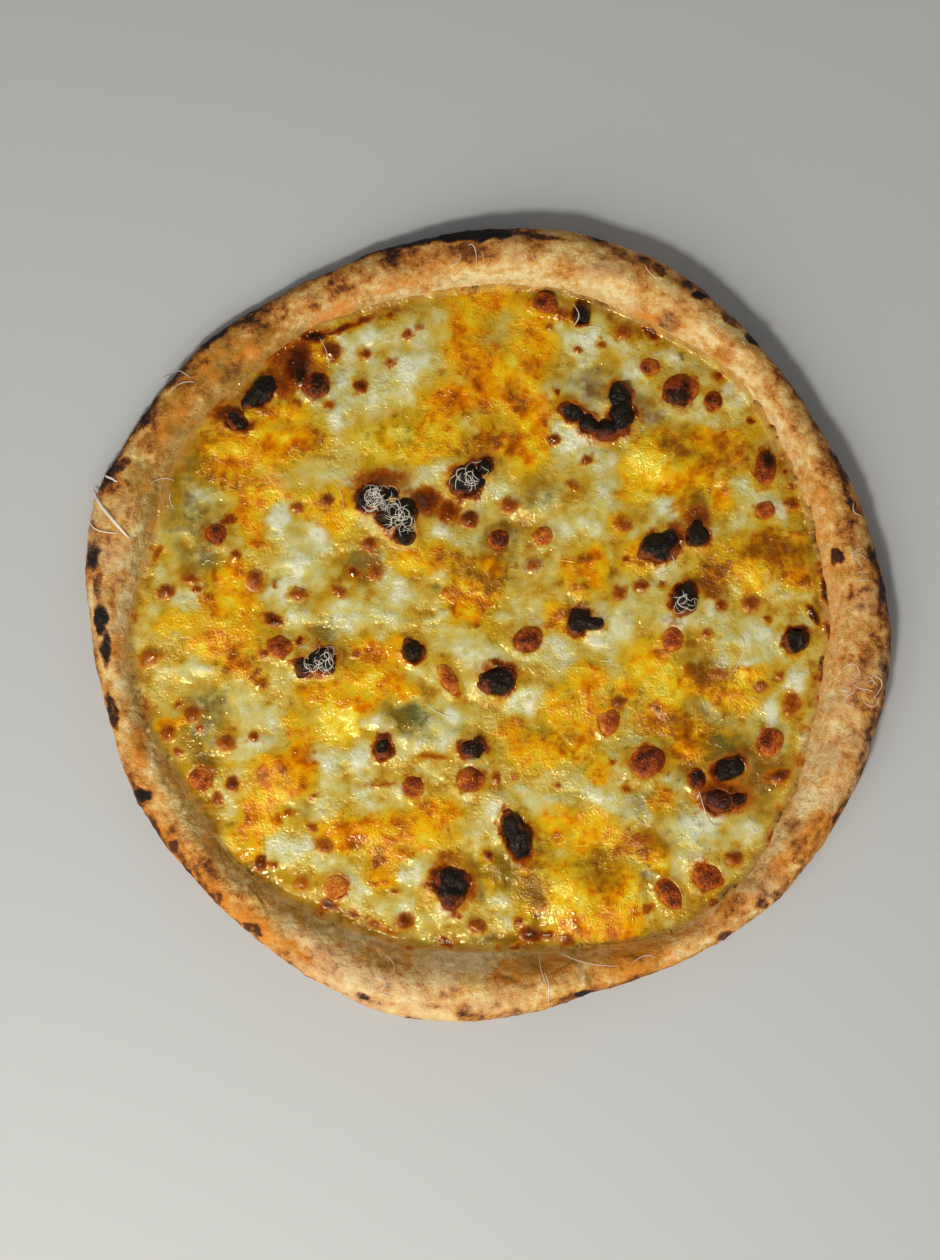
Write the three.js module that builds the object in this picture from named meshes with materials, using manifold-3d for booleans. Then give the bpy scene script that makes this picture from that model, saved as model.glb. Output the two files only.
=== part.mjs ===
// A four cheese pizza 33 cm across: a thin dough base puffed into an uneven rim, a melted blanket
// of white cheese, pools of golden cheese on it, and the cheese bubbles that the oven browned or
// charred. Millimetres, +Z up, origin on the underside at the middle of the pizza.
import * as THREE from "three";
import { mergeVertices } from "three/addons/utils/BufferGeometryUtils.js";
import Module from "manifold-3d";

const wasm = await Module();
wasm.setup();

// Driving dimensions
const BASE_THICKNESS = 3; // dough under the cheese
const CHEESE_THICKNESS = 2.5; // white cheese, on average
const POOL_THICKNESS = 0.9; // golden cheese over the white
const GAP = 0.3; // kept between a piece and what it lies on
const TUCK = 9; // how far the rounded edge curls in under the rim
const CREST_PLACE = 0.56; // crest of the rim, from its inner foot (0) to its outer edge (1)
const WIDEST_PLACE = 0.36; // height of the rim's widest point, as a share of its full height
const OUTER_FULLNESS = 2.2; // of the rim's outer side, where 2 is an ellipse
const INNER_EASE = 1.2; // past 1 the inner slope starts gently at its foot
const EDGE_THINNING = 1.1; // lost by the white cheese at its edge
const EDGE_REACH = 9; // how far in from the edge that thinning fades
const SHRED_WIDTH = 1.1;
const SHRED_HEIGHT = 0.8;
const SHRED_SINK = 0.3; // depth in the rim, so that every facet under a shred holds it
const BUBBLE_ROOT = 1.4; // depth of a bubble's sides under the cheese's top, before it is cut

// The hand-stretched outline, every 15 degrees anticlockwise from +X
const OUTER_RADIUS = [
  165.5, 161.5, 159, 160.5, 164, 165, 162, 159.5, 159, 163, 164.5, 168,
  162, 159, 160, 158, 160, 164, 162, 157.5, 160, 164, 165, 166,
];
const CHEESE_RADIUS = [
  138, 138, 139, 141, 138, 138, 136, 135, 138, 138, 141, 138,
  143, 142, 137, 139, 134, 133, 131, 135, 144, 145, 141, 137,
];
const RIM_HEIGHT = [
  19, 18, 17, 17, 18, 18, 16, 12, 10, 9, 9, 11,
  12, 12, 12, 12, 14, 17, 18, 15, 11, 14, 18, 20,
];

// Resolution of the faceted solids
const SECTORS = 84;
const ARC_STEPS = 4;
const CELL = 12;
const CELLS = 25;
const POOL_SIDES = 18;
const SHRED_STEPS = 4;
const LARGE_BUBBLE = 6.5; // half sizes past which a bubble gets more sides
const SMALL_BUBBLE = 4.2;

const TURN = 2 * Math.PI;
const CHEESE_FLOOR = BASE_THICKNESS + GAP;
const FULL_SPAN = CELL * CELLS;
const WELL_BELOW = 20; // deeper than anything that is cut
const WELL_ABOVE = 40; // higher than anything that is cut

// Colours and finishes
const finish = (color, roughness) =>
  new THREE.MeshStandardMaterial({ color, roughness, metalness: 0 });
const BAKED_DOUGH = finish(0xcb9c60, 0.75);
const WHITE_CHEESE = finish(0xcdb874, 0.4);
const GOLDEN_CHEESE = finish(0xd08f1c, 0.32);
const BROWNED_CHEESE = finish(0x7a3a12, 0.38);
const CHARRED_CHEESE = finish(0x241c16, 0.35);

// A closed geometry as a solid: shared points are merged and collapsed triangles dropped.
function solid(geometry) {
  geometry.deleteAttribute("normal");
  geometry.deleteAttribute("uv");
  const merged = mergeVertices(geometry, 1e-4);
  const corners = merged.index.array;
  const kept = [];
  for (let i = 0; i < corners.length; i += 3) {
    const [a, b, c] = corners.slice(i, i + 3);
    if (a !== b && b !== c && c !== a) kept.push(a, b, c);
  }
  return new wasm.Manifold(
    new wasm.Mesh({
      numProp: 3,
      vertProperties: merged.attributes.position.array,
      triVerts: new Uint32Array(kept),
    }),
  );
}

// A named mesh of a solid.
function piece(name, body, material) {
  const { vertProperties, triVerts } = body.getMesh();
  const geometry = new THREE.BufferGeometry();
  geometry.setAttribute("position", new THREE.BufferAttribute(vertProperties, 3));
  geometry.setIndex(new THREE.BufferAttribute(triVerts, 1));
  geometry.computeVertexNormals();
  const mesh = new THREE.Mesh(geometry, material);
  mesh.name = name;
  return mesh;
}

// Value of a table of evenly spaced stations at any angle, on a smooth closed curve.
function around(table, angle) {
  const count = table.length;
  const place = (((angle / TURN) % 1) + 1) % 1 * count;
  const first = Math.floor(place);
  const f = place - first;
  const [a, b, c, d] = [-1, 0, 1, 2].map((k) => table[(first + k + count) % count]);
  const bend = 2 * a - 5 * b + 4 * c - d + f * (3 * (b - c) + d - a);
  return b + 0.5 * f * (c - a + f * bend);
}

// Place in space of a point given by its angle, radius and height.
const polar = (angle, radius, z) =>
  new THREE.Vector3(radius * Math.cos(angle), radius * Math.sin(angle), z);

// ---- Crust: base and rim in one piece of dough -------------------------------------------------

// Lumps of the dough, in mm: slow swells round the rim, with faster ones across it.
const doughSwell = (angle, across) =>
  0.55 * Math.sin(13 * angle + 2 * across) +
  0.45 * Math.sin(19 * angle - 3 * across + 1) +
  0.35 * Math.sin(31 * angle + 5 * across + 2);

// The rim's section at an angle: inner foot, crest, widest point and height.
function rimSection(angle) {
  const foot = around(CHEESE_RADIUS, angle) + 2 * GAP;
  const outer = around(OUTER_RADIUS, angle);
  const height = around(RIM_HEIGHT, angle);
  const crest = foot + CREST_PLACE * (outer - foot);
  return { foot, outer, height, crest, widest: WIDEST_PLACE * height };
}

// A point of a quarter of a rounded section, from level with its end (0) to the top of it (1).
function roundPoint(share, fullness) {
  const phase = (share * Math.PI) / 2;
  return [Math.cos(phase) ** (2 / fullness), Math.sin(phase) ** (2 / fullness)];
}

// Rise of the inner slope, from its foot (0) to the crest (1).
const innerRise = (share) => Math.sin((share * Math.PI) / 2) ** INNER_EASE;

// Height of the rim's top at an angle and radius.
function rimTop(angle, radius) {
  const { foot, outer, height, crest, widest } = rimSection(angle);
  if (radius < crest) {
    const share = Math.max(0, (radius - foot) / (crest - foot));
    return BASE_THICKNESS + (height - BASE_THICKNESS) * innerRise(share);
  }
  const away = Math.min(1, (radius - crest) / (outer - crest));
  return widest + (height - widest) * (1 - away ** OUTER_FULLNESS) ** (1 / OUTER_FULLNESS);
}

// The closed section of the crust at an angle, from the middle of the underside round the edge
// to the middle of the floor under the cheese.
function crustSection(angle) {
  const { foot, outer, height, crest, widest } = rimSection(angle);
  const section = [[0, 0], [outer - TUCK, 0]];
  for (let k = 1; k <= ARC_STEPS; k += 1) {
    const [away, up] = roundPoint(1 - k / ARC_STEPS, 2);
    section.push([outer - TUCK * (1 - away), widest * (1 - up)]);
  }
  for (let k = 1; k <= ARC_STEPS; k += 1) {
    const [away, up] = roundPoint(k / ARC_STEPS, OUTER_FULLNESS);
    const swell = doughSwell(angle, k / ARC_STEPS) * (k / ARC_STEPS);
    section.push([crest + (outer - crest) * away, widest + (height - widest) * up + swell]);
  }
  for (let k = ARC_STEPS - 1; k >= 0; k -= 1) {
    const share = k / ARC_STEPS;
    const swell = doughSwell(angle, 2 - share) * share;
    const rise = (height - BASE_THICKNESS) * innerRise(share) + swell;
    section.push([foot + (crest - foot) * share, BASE_THICKNESS + rise]);
  }
  section.push([0, BASE_THICKNESS]);
  return section;
}

function crustBody() {
  const profile = crustSection(0).map(([radius, z]) => new THREE.Vector2(radius, z));
  const dough = new THREE.LatheGeometry(profile, SECTORS);
  const place = dough.attributes.position;
  for (let i = 0; i <= SECTORS; i += 1) {
    const angle = (TURN * (i % SECTORS)) / SECTORS;
    crustSection(angle).forEach(([radius, z], k) => {
      const point = polar(angle, radius, z);
      place.setXYZ(i * profile.length + k, point.x, point.y, point.z);
    });
  }
  return solid(dough);
}

// ---- Cheese: a blanket that rolls gently ------------------------------------------------------

// Height of the white cheese's top: slow swells, thinner towards the rim.
function cheeseTop(x, y) {
  const angle = Math.atan2(y, x);
  const inward = around(CHEESE_RADIUS, angle) - Math.hypot(x, y);
  const thinning = EDGE_THINNING * Math.exp(-Math.max(0, inward) / EDGE_REACH);
  const swell =
    0.5 * Math.sin(x / 11 + 1.3) * Math.cos(y / 13) +
    0.4 * Math.sin(x / 7.3 - y / 9.1) +
    0.35 * Math.cos(x / 17 + y / 6.4 + 2);
  return CHEESE_FLOOR + CHEESE_THICKNESS - thinning + swell;
}

// Everything below the cheese's top raised by lift.
function blanket(lift) {
  const slab = new THREE.BoxGeometry(FULL_SPAN, FULL_SPAN, 1, CELLS, CELLS, 1);
  const place = slab.attributes.position;
  for (let i = 0; i < place.count; i += 1) {
    const top = cheeseTop(place.getX(i), place.getY(i)) + lift;
    place.setZ(i, place.getZ(i) > 0 ? top : -WELL_BELOW);
  }
  return solid(slab);
}

// An upright block of an outline, from the floor of the cheese up.
function upright(points) {
  const height = { depth: WELL_ABOVE, bevelEnabled: false };
  const block = new THREE.ExtrudeGeometry(new THREE.Shape(points), height);
  return solid(block.translate(0, 0, CHEESE_FLOOR));
}

function cheeseOutline() {
  const points = [];
  for (let i = 0; i < SECTORS; i += 1) {
    const angle = (TURN * i) / SECTORS;
    points.push(polar(angle, around(CHEESE_RADIUS, angle), 0));
  }
  return points;
}

// Pools of golden cheese: middle, half sizes and turn in degrees.
const POOLS = [
  [0, 104, 23, 28, 0],
  [-98, 71, 23, 14, 0],
  [-113, -3, 22, 14, -12],
  [-86, -66, 15, 14, 30],
  [-46, -19, 14, 16, 20],
  [-16, 18, 20, 10, -28],
  [-36, -83, 24, 10, 8],
  [92, 69, 25, 10, -12],
  [114, 24, 20, 12, 0],
  [84, -33, 24, 12, -38],
  [38, -111, 19, 16, 20],
  [41, 20, 8, 12, 0],
];

// The uneven outline of a pool, spread outwards by a margin.
function poolOutline([x, y, halfX, halfY, turn], seed, margin) {
  const points = [];
  for (let i = 0; i < POOL_SIDES; i += 1) {
    const a = (TURN * i) / POOL_SIDES;
    const wander =
      1 + 0.1 * Math.sin(2 * a + seed) + 0.08 * Math.sin(3 * a + 2 * seed) +
      0.06 * Math.sin(5 * a + 3 * seed);
    const spot = new THREE.Vector2(
      (halfX * wander + margin) * Math.cos(a),
      (halfY * wander + margin) * Math.sin(a),
    );
    spot.rotateAround(new THREE.Vector2(), THREE.MathUtils.degToRad(turn));
    points.push(spot.add(new THREE.Vector2(x, y)));
  }
  return points;
}

// ---- Bubbles of browned and charred cheese ----------------------------------------------------

// Each bubble is one or more domes: middle, half sizes, turn in degrees and rise above the cheese.
const CHARRED = [
  [[-46, 52, 7, 6, 0, 4.6], [-39.5, 45.5, 5.5, 6, 0, 3.2], [-33, 46.5, 5.5, 6.5, 0, 4.8], [-33, 37, 4.5, 4, 0, 3.8]],
  [[-7.5, 59.5, 6.8, 7.2, 0, 5], [0, 65, 3.2, 3.6, 0, 4]],
  [
    [37.5, 86.5, 5, 3.4, -25, 4.2], [43, 82.5, 4.6, 3.8, -35, 4.6], [49.5, 81, 5, 4.2, 0, 4.8],
    [55.5, 86, 5, 6, 0, 5], [56.5, 94, 5, 5.5, 0, 4.4],
  ],
  [[71.5, 32.5, 9.2, 5.8, 35, 5]],
  [[86.8, 36.8, 5.2, 4.8, 0, 4]],
  [[82, 11, 5.2, 5.8, 0, 5]],
  [[38.5, 1.5, 5, 5.4, 0, 4.6], [44.5, 0.5, 4, 2.8, 0, 3.4]],
  [[13, -86, 10.2, 5.3, -72, 5]],
  [[5, -23, 8, 6.2, 12, 4.6]],
  [[-29.5, -10.5, 4.3, 5, 0, 4.4]],
  [[-66.5, -14.5, 6.2, 5.2, -15, 5], [-74.5, -17, 4, 4, 0, 2.8]],
  [[-13.5, -107, 8.4, 8.8, 0, 4.4]],
  [[100, -59, 7, 4.8, 12, 5]],
  [[96, -72, 7.2, 5, -20, 4.2], [103.5, -71.5, 3.6, 3.4, 0, 3]],
  [[127, -6.5, 5, 5.2, 0, 4.4]],
  [[39.5, 127.5, 3.6, 4.3, 0, 3.8]],
  [[-92, 95.5, 8.6, 4.6, 48, 4]],
  [[-101.5, 83.5, 5.8, 3.6, -20, 3.4]],
  [[-42, -50.5, 3.7, 4.9, 0, 3.8]],
  [[-5, -51, 5.6, 4.3, 0, 3.6]],
];
const BROWNED = [
  [[17.5, -6, 6.3, 5.4, 10, 3.4]],
  [[80, 96, 7.4, 7, 0, 3.6]],
  [[67.5, 106, 4.3, 3.6, 0, 2.6]],
  [[93.5, 92, 3.9, 4, 0, 2.4]],
  [[115, 64.5, 4.4, 7, 0, 3]],
  [[115, 47, 4.4, 3.7, 0, 2.8]],
  [[66.5, -56, 7.4, 6.6, 0, 3.8]],
  [[87, -63, 3.8, 4.6, 20, 3]],
  [[91, -103, 6.7, 5.8, -30, 3]],
  [[75.5, -110, 7.2, 4.3, -52, 3]],
  [[51, -39.5, 4.4, 5.4, -25, 3]],
  [[117, -48, 5.6, 5.6, 0, 2.8]],
  [[77, -5.5, 4.5, 5, 0, 2.6]],
  [[24, 36.5, 4, 3.8, 0, 2.4]],
  [[5.5, 35, 4.2, 4.2, 0, 2.6]],
  [[-6, -63.5, 5.8, 5.1, 0, 3.4]],
  [[-29.5, -66.5, 4.6, 4.6, 0, 3]],
  [[-15, -22, 7.4, 3, -62, 2.6]],
  [[-116.5, -63, 5.1, 5, 0, 3]],
  [[-84.5, -9, 5, 4.6, 0, 2.8]],
  [[-61, -107, 5.3, 5, 0, 2.8]],
  [[-69, 98, 5.6, 5.4, 0, 3.2]],
  [[-110, 37, 4.1, 4.3, 0, 2.6]],
  [[25, 132, 5.4, 4, -20, 3]],
];

// Bubbles too small to be pieces of their own, fused to the white cheese: middle, radius, rise.
const SMALL_BUBBLES = [
  [102, -95.5, 3.7, 1.9], [126, 49.5, 3.4, 1.6], [55, -31.5, 3, 1.6], [19.5, 24.5, 4, 1.3],
  [-45, 21.5, 3.2, 1.5], [-47.5, 33, 3, 1.5], [10, 49, 3.8, 1.9], [-6.5, 43.5, 3.8, 2.2],
  [57, 120, 3.6, 1.6], [-65, 51, 3, 1.5], [-33, -121.5, 3.6, 1.6], [109, 8.5, 3.8, 1.6],
  [121, -63, 3.2, 1.8], [-66, -90.5, 3.8, 1.8], [-75, -106, 3.5, 1.3], [-106, -48.5, 4, 2],
  [-120, -36.5, 3.8, 1.7], [-130, -44.5, 3.8, 1.6], [-94.5, 18.5, 3.4, 1.9],
  [-131, 13.5, 3.6, 1.7], [-137.5, -13.5, 4.2, 1.6], [-103.5, -65, 3, 2.2], [19, -127, 3.6, 2],
  [-3.5, -123.5, 4, 1.8],
];

// Flat blisters of the dough, fused to the rim: angle in degrees, radius, half size, rise.
const RIM_BLISTERS = [
  [57, 156, 4, 1.3], [46, 155, 4.5, 1.3], [315, 152, 4.5, 1.1], [207, 149, 4.5, 1.2],
  [216, 150, 4, 1.1], [285, 151, 4.5, 1.2], [252, 155, 3.5, 1], [178, 155, 4.5, 1.1],
  [11.5, 150, 4, 1.3], [130, 148, 4, 1], [118, 149, 4.5, 1], [342, 155, 4.5, 1],
];

// A dome on a short flat root, uneven round its edge.
function dome([x, y, halfX, halfY, turn, rise], surface, seed) {
  const [sides, rings] = halfX > LARGE_BUBBLE ? [10, 3] : halfX > SMALL_BUBBLE ? [8, 3] : [6, 2];
  const profile = [new THREE.Vector2(0, -1), new THREE.Vector2(0.97, -1)];
  for (let k = 0; k <= rings; k += 1) {
    const phase = (k / rings) * (Math.PI / 2);
    profile.push(new THREE.Vector2(k < rings ? Math.cos(phase) : 0, Math.sin(phase) ** 0.85));
  }
  const shell = new THREE.LatheGeometry(profile, sides).rotateX(Math.PI / 2);
  const place = shell.attributes.position;
  for (let i = 0; i < place.count; i += 1) {
    const side = Math.floor(i / profile.length) % sides;
    const a = (TURN * side) / sides;
    const wander = 1 + 0.07 * Math.sin(2 * a + seed) + 0.06 * Math.sin(3 * a + 2.3 * seed);
    const up = place.getZ(i);
    const crag = 1 + 0.08 * Math.sin(4 * a + 3 * seed) * (1 - up);
    const height = up > 0 ? up * rise * crag : up * BUBBLE_ROOT;
    place.setXYZ(i, place.getX(i) * halfX * wander, place.getY(i) * halfY * wander, height);
  }
  shell.rotateZ(THREE.MathUtils.degToRad(turn));
  return solid(shell.translate(x, y, surface));
}

// ---- Shreds of grated cheese, fused to what they lie on ---------------------------------------

// Each shred: three places along it.
const CRUST_SHREDS = [
  [[-7, 154.5], [-4.5, 154], [-3.5, 147.5]],
  [[149, -24], [153.5, -26], [158, -26.5]],
  [[-158, 43.5], [-152, 38.5], [-146, 37.5]],
  [[-157.5, 58], [-152, 48], [-147, 42.5]],
  [[24, -141], [26, -148], [25.5, -155]],
  [[65, 146.5], [67.5, 142.5], [71, 141]],
];
const CHEESE_SHREDS = [
  [[-110, 104], [-117, 85], [-114, 77]],
  [[38.5, 121], [44, 122.5], [49, 120.5]],
  [[87, -66], [92, -80], [98, -82]],
  [[60, -76], [64, -81], [70, -83]],
  [[-24, -32], [-19, -36], [-14, -37]],
  [[-66, 62], [-60, 56], [-58, 47]],
];

function shred(points, surface) {
  const corner = new THREE.Vector2(SHRED_HEIGHT / 2, SHRED_WIDTH / 2);
  const section = new THREE.Shape([
    new THREE.Vector2(-corner.x, -corner.y),
    new THREE.Vector2(corner.x, -corner.y),
    new THREE.Vector2(corner.x, corner.y),
    new THREE.Vector2(-corner.x, corner.y),
  ]);
  const flat = new THREE.SplineCurve(points.map(([x, y]) => new THREE.Vector2(x, y)));
  const lie = (p) => new THREE.Vector3(p.x, p.y, surface(p.x, p.y));
  const extrudePath = new THREE.CatmullRomCurve3(flat.getPoints(SHRED_STEPS).map(lie));
  return solid(new THREE.ExtrudeGeometry(section, { steps: SHRED_STEPS, extrudePath }));
}

const join = (bodies) => bodies.reduce((whole, body) => whole.add(body));

// ---- The pizza --------------------------------------------------------------------------------

const onRim = (x, y) => rimTop(Math.atan2(y, x), Math.hypot(x, y)) - SHRED_SINK;

const rimBlisters = RIM_BLISTERS.map(([degrees, radius, half, rise], i) => {
  const angle = THREE.MathUtils.degToRad(degrees);
  const { x, y } = polar(angle, radius, 0);
  return dome([x, y, half, 0.7 * half, degrees + 90, rise], onRim(x, y), i);
});
const crust = join([
  crustBody(),
  ...rimBlisters,
  ...CRUST_SHREDS.map((points) => shred(points, onRim)),
]);

const smallBubbles = SMALL_BUBBLES.map(([x, y, half, rise], i) =>
  dome([x, y, half, 0.85 * half, 37 * i, rise], cheeseTop(x, y), i),
);
const withinRim = upright(cheeseOutline());
const whiteCheese = join([
  blanket(0),
  ...smallBubbles,
  ...CHEESE_SHREDS.map((points) => shred(points, cheeseTop)),
]).intersect(withinRim);

// Pools lie on the white cheese; the bubbles lie on both, so each is cut by what it lies on.
const underPools = join([blanket(GAP), whiteCheese.translate(0, 0, GAP)]);
const poolTop = blanket(GAP + POOL_THICKNESS).intersect(withinRim);
const pools = POOLS.map((pool, i) =>
  poolTop.intersect(upright(poolOutline(pool, i, 0))).subtract(underPools),
);
const overPools = blanket(2 * GAP + POOL_THICKNESS);
const poolCovers = POOLS.map((pool, i) => overPools.intersect(upright(poolOutline(pool, i, GAP))));
const underBubbles = join([underPools, ...poolCovers]);

function bubbles(list, name, material) {
  return list.map((domes, i) => {
    const body = join(domes.map((spec, k) => dome(spec, cheeseTop(spec[0], spec[1]), i + k)));
    const resting = body.subtract(underBubbles).intersect(withinRim);
    return piece(`${name}_${i + 1}`, resting, material);
  });
}

const pizza = new THREE.Group();
pizza.add(piece("crust", crust, BAKED_DOUGH));
pizza.add(piece("white_cheese", whiteCheese, WHITE_CHEESE));
pools.forEach((pool, i) => pizza.add(piece(`golden_cheese_${i + 1}`, pool, GOLDEN_CHEESE)));
pizza.add(...bubbles(CHARRED, "charred_bubble", CHARRED_CHEESE));
pizza.add(...bubbles(BROWNED, "browned_bubble", BROWNED_CHEESE));

export default pizza;
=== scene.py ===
"""A four cheese pizza, seen from above: puffed dough, melted white and golden cheese, browned and
charred bubbles, shreds of hard cheese and drops of oil. Metres; places in millimetres are
multiplied by MM where they reach a mesh."""
import math

import bpy
import numpy as np
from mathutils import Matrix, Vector
from mathutils.bvhtree import BVHTree


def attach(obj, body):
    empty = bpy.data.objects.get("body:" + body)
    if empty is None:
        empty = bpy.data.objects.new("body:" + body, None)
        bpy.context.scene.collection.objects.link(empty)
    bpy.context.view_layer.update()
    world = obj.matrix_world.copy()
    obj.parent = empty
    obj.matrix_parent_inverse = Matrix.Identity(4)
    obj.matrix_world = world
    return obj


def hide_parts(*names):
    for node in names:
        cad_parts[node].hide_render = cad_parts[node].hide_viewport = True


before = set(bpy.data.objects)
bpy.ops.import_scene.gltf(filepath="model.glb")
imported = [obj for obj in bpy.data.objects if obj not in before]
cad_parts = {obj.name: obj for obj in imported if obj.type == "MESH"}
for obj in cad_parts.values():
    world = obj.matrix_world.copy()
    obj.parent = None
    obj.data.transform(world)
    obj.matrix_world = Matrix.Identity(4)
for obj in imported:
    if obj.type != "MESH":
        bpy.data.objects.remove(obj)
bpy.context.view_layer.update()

# ---- The view ----------------------------------------------------------------------------------
# The pizza is seen from straight above, in a frame of 940 by 1260 pixels in which one pixel is
# 0.41 mm at the cheese. It lies on a plain pale floor.
MM = 0.001
PICTURE_WIDTH, PICTURE_HEIGHT = 940, 1260
MIDDLE_ACROSS, MIDDLE_DOWN = 485, 625  # pixel at the middle of the pizza
PIXEL = 0.41 * MM
CHEESE_LEVEL = 6 * MM
CAMERA_HEIGHT = 1.3
SENSOR_MM = 24

camera_x = (PICTURE_WIDTH / 2 - MIDDLE_ACROSS) * PIXEL
camera_y = (MIDDLE_DOWN - PICTURE_HEIGHT / 2) * PIXEL
bpy.ops.object.camera_add(location=(camera_x, camera_y, CAMERA_HEIGHT), rotation=(0, 0, 0))
camera = bpy.context.object
camera.data.sensor_fit = "VERTICAL"
camera.data.sensor_height = SENSOR_MM
camera.data.lens = SENSOR_MM * (CAMERA_HEIGHT - CHEESE_LEVEL) / (PICTURE_HEIGHT * PIXEL)
bpy.context.scene.camera = camera
bpy.context.scene.view_settings.view_transform = "Standard"


def srgb(red, green, blue):
    """A colour read by eye on the 0 to 255 scale, as the linear colour that a shader takes."""
    def linear(value):
        share = value / 255
        return share / 12.92 if share <= 0.04045 else ((share + 0.055) / 1.055) ** 2.4
    return (linear(red), linear(green), linear(blue), 1.0)


def new_material(name):
    """A material, its node tree and its main shader."""
    material = bpy.data.materials.new(name)
    material.use_nodes = True
    return material, material.node_tree, material.node_tree.nodes["Principled BSDF"]


bpy.ops.mesh.primitive_plane_add(size=8, location=(0, 0, -0.2 * MM))
floor = bpy.context.object
floor.name = "floor"
floor_paint, _, floor_shader = new_material("pale_floor")
floor_shader.inputs["Base Color"].default_value = srgb(196, 196, 192)
floor_shader.inputs["Roughness"].default_value = 0.7
floor.data.materials.append(floor_paint)


def window(name, place, size, power, colour):
    """A soft rectangle of light that faces the pizza."""
    bpy.ops.object.light_add(type="AREA", location=place)
    light = bpy.context.object
    light.name = name
    light.rotation_euler = (-Vector(place)).to_track_quat("-Z", "Y").to_euler()
    light.data.shape = "RECTANGLE"
    light.data.size, light.data.size_y = size
    light.data.energy = power
    light.data.color = colour


window("window", (-0.45, -0.9, 0.72), (1.2, 1.0), 8.6, (1.0, 0.975, 0.93))
window("small_panel", (-0.3, -0.68, 1.1), (0.19, 0.19), 8.0, (1.0, 0.98, 0.95))
window("far_panel", (1.1, 0.9, 0.75), (1.4, 0.9), 1.6, (0.95, 0.98, 1.0))

# The room is bright at the sides and dim overhead, so that level wet cheese keeps its colour.
world = bpy.data.worlds.new("soft_room")
world.use_nodes = True
room = world.node_tree
sky = room.nodes.new("ShaderNodeTexCoord")
split = room.nodes.new("ShaderNodeSeparateXYZ")
room.links.new(sky.outputs["Generated"], split.inputs["Vector"])
overhead = room.nodes.new("ShaderNodeMapRange")
overhead.interpolation_type = "SMOOTHSTEP"
for socket, value in (("From Min", 0.5), ("From Max", 0.95), ("To Min", 0.34), ("To Max", 0.05)):
    overhead.inputs[socket].default_value = value
room.links.new(split.outputs["Z"], overhead.inputs["Value"])
room.links.new(overhead.outputs["Result"], room.nodes["Background"].inputs["Strength"])
room.nodes["Background"].inputs["Color"].default_value = (0.95, 0.97, 1.0, 1)
bpy.context.scene.world = world

# ---- Crust -------------------------------------------------------------------------------------
# The base and the rim are one piece of stretched dough. The rim puffed up in the oven, is
# floury and pale where it was sheltered, and blistered, browned and charred where it was hot.
TURN = 2 * math.pi
BASE_THICKNESS = 3
TUCK = 9
CREST_PLACE = 0.56
WIDEST_PLACE = 0.36
OUTER_FULLNESS = 2.2
INNER_EASE = 1.2
GAP = 0.3
OUTER_RADIUS = [
    165.5, 161.5, 159, 160.5, 164, 165, 162, 159.5, 159, 163, 164.5, 168,
    162, 159, 160, 158, 160, 164, 162, 157.5, 160, 164, 165, 166,
]
CHEESE_RADIUS = [
    138, 138, 139, 141, 138, 138, 136, 135, 138, 138, 141, 138,
    143, 142, 137, 139, 134, 133, 131, 135, 144, 145, 141, 137,
]
RIM_HEIGHT = [
    19, 18, 17, 17, 18, 18, 16, 12, 10, 9, 9, 11,
    12, 12, 12, 12, 14, 17, 18, 15, 11, 14, 18, 20,
]
CRUST_TURNS = 1250
UNDER_PLACES = [0, 0.3, 0.6, 0.8, 0.9, 0.96, 1]  # of the flat underside, from the middle out
FLOOR_PLACES = [0.985, 0.96, 0.9, 0.7, 0.35, 0]  # of the floor under the cheese, going in
TUCK_STEPS = 12
OUTER_STEPS = 24
INNER_STEPS = 26


def around(table, angle):
    """Value of a table of evenly spaced stations at any angle, on a smooth closed curve."""
    count = len(table)
    place = (angle / TURN) % 1 * count
    first = np.floor(place).astype(int)
    f = place - first
    a, b, c, d = (np.take(table, (first + k) % count) for k in (-1, 0, 1, 2))
    bend = 2 * a - 5 * b + 4 * c - d + f * (3 * (b - c) + d - a)
    return b + 0.5 * f * (c - a + f * bend)


def fade(value, low, high):
    """0 below low, 1 above high, and a smooth rise between them; low may be above high."""
    share = np.clip((value - low) / (high - low), 0, 1)
    return share * share * (3 - 2 * share)


def noise(points, size, seed):
    """Smooth random values from about -1 to 1, in lumps of a size, at points in millimetres."""
    scaled = points / size + 17.3 * seed
    cell = np.floor(scaled).astype(np.int64)
    f = scaled - cell
    ease = f * f * f * (f * (f * 6 - 15) + 10)
    total = np.zeros(len(points))
    for corner in np.ndindex(2, 2, 2):
        at = cell + corner
        key = (at[:, 0] * 73856093) ^ (at[:, 1] * 19349663) ^ (at[:, 2] * 83492791) ^ (seed * 9973)
        weight = np.prod(np.where(corner, ease, 1 - ease), axis=1)
        for axis, stir in enumerate((40503, 60493, 19937)):
            mixed = (key * stir) & 0xFFFFFF
            mixed = ((mixed ^ (mixed >> 9)) * 26699) & 0xFFFF
            total += weight * (mixed / 32767.5 - 1) * (f[:, axis] - corner[axis])
    return 1.7 * total


def flat_points(x, y):
    """Points of a level plane, for a pattern that doesn't change with height."""
    return np.column_stack([x, y, np.zeros(len(x))])


def reach(x, y, spot):
    """Distance from the middle of an oval spot, as a share of its half size: 1 at its edge."""
    middle_x, middle_y, half_x, half_y, turn = spot[:5]
    cos, sin = math.cos(math.radians(turn)), math.sin(math.radians(turn))
    along = (x - middle_x) * cos + (y - middle_y) * sin
    across = (y - middle_y) * cos - (x - middle_x) * sin
    return np.hypot(along / half_x, across / half_y)


def cover(x, y, spots, softness):
    """How much each point lies under the strongest of some spots, each an oval and a strength."""
    total = np.zeros(len(x))
    for spot in spots:
        inside = fade(reach(x, y, spot), 1 + softness, 1 - softness)
        total = np.maximum(total, spot[5] * inside)
    return total


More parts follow.
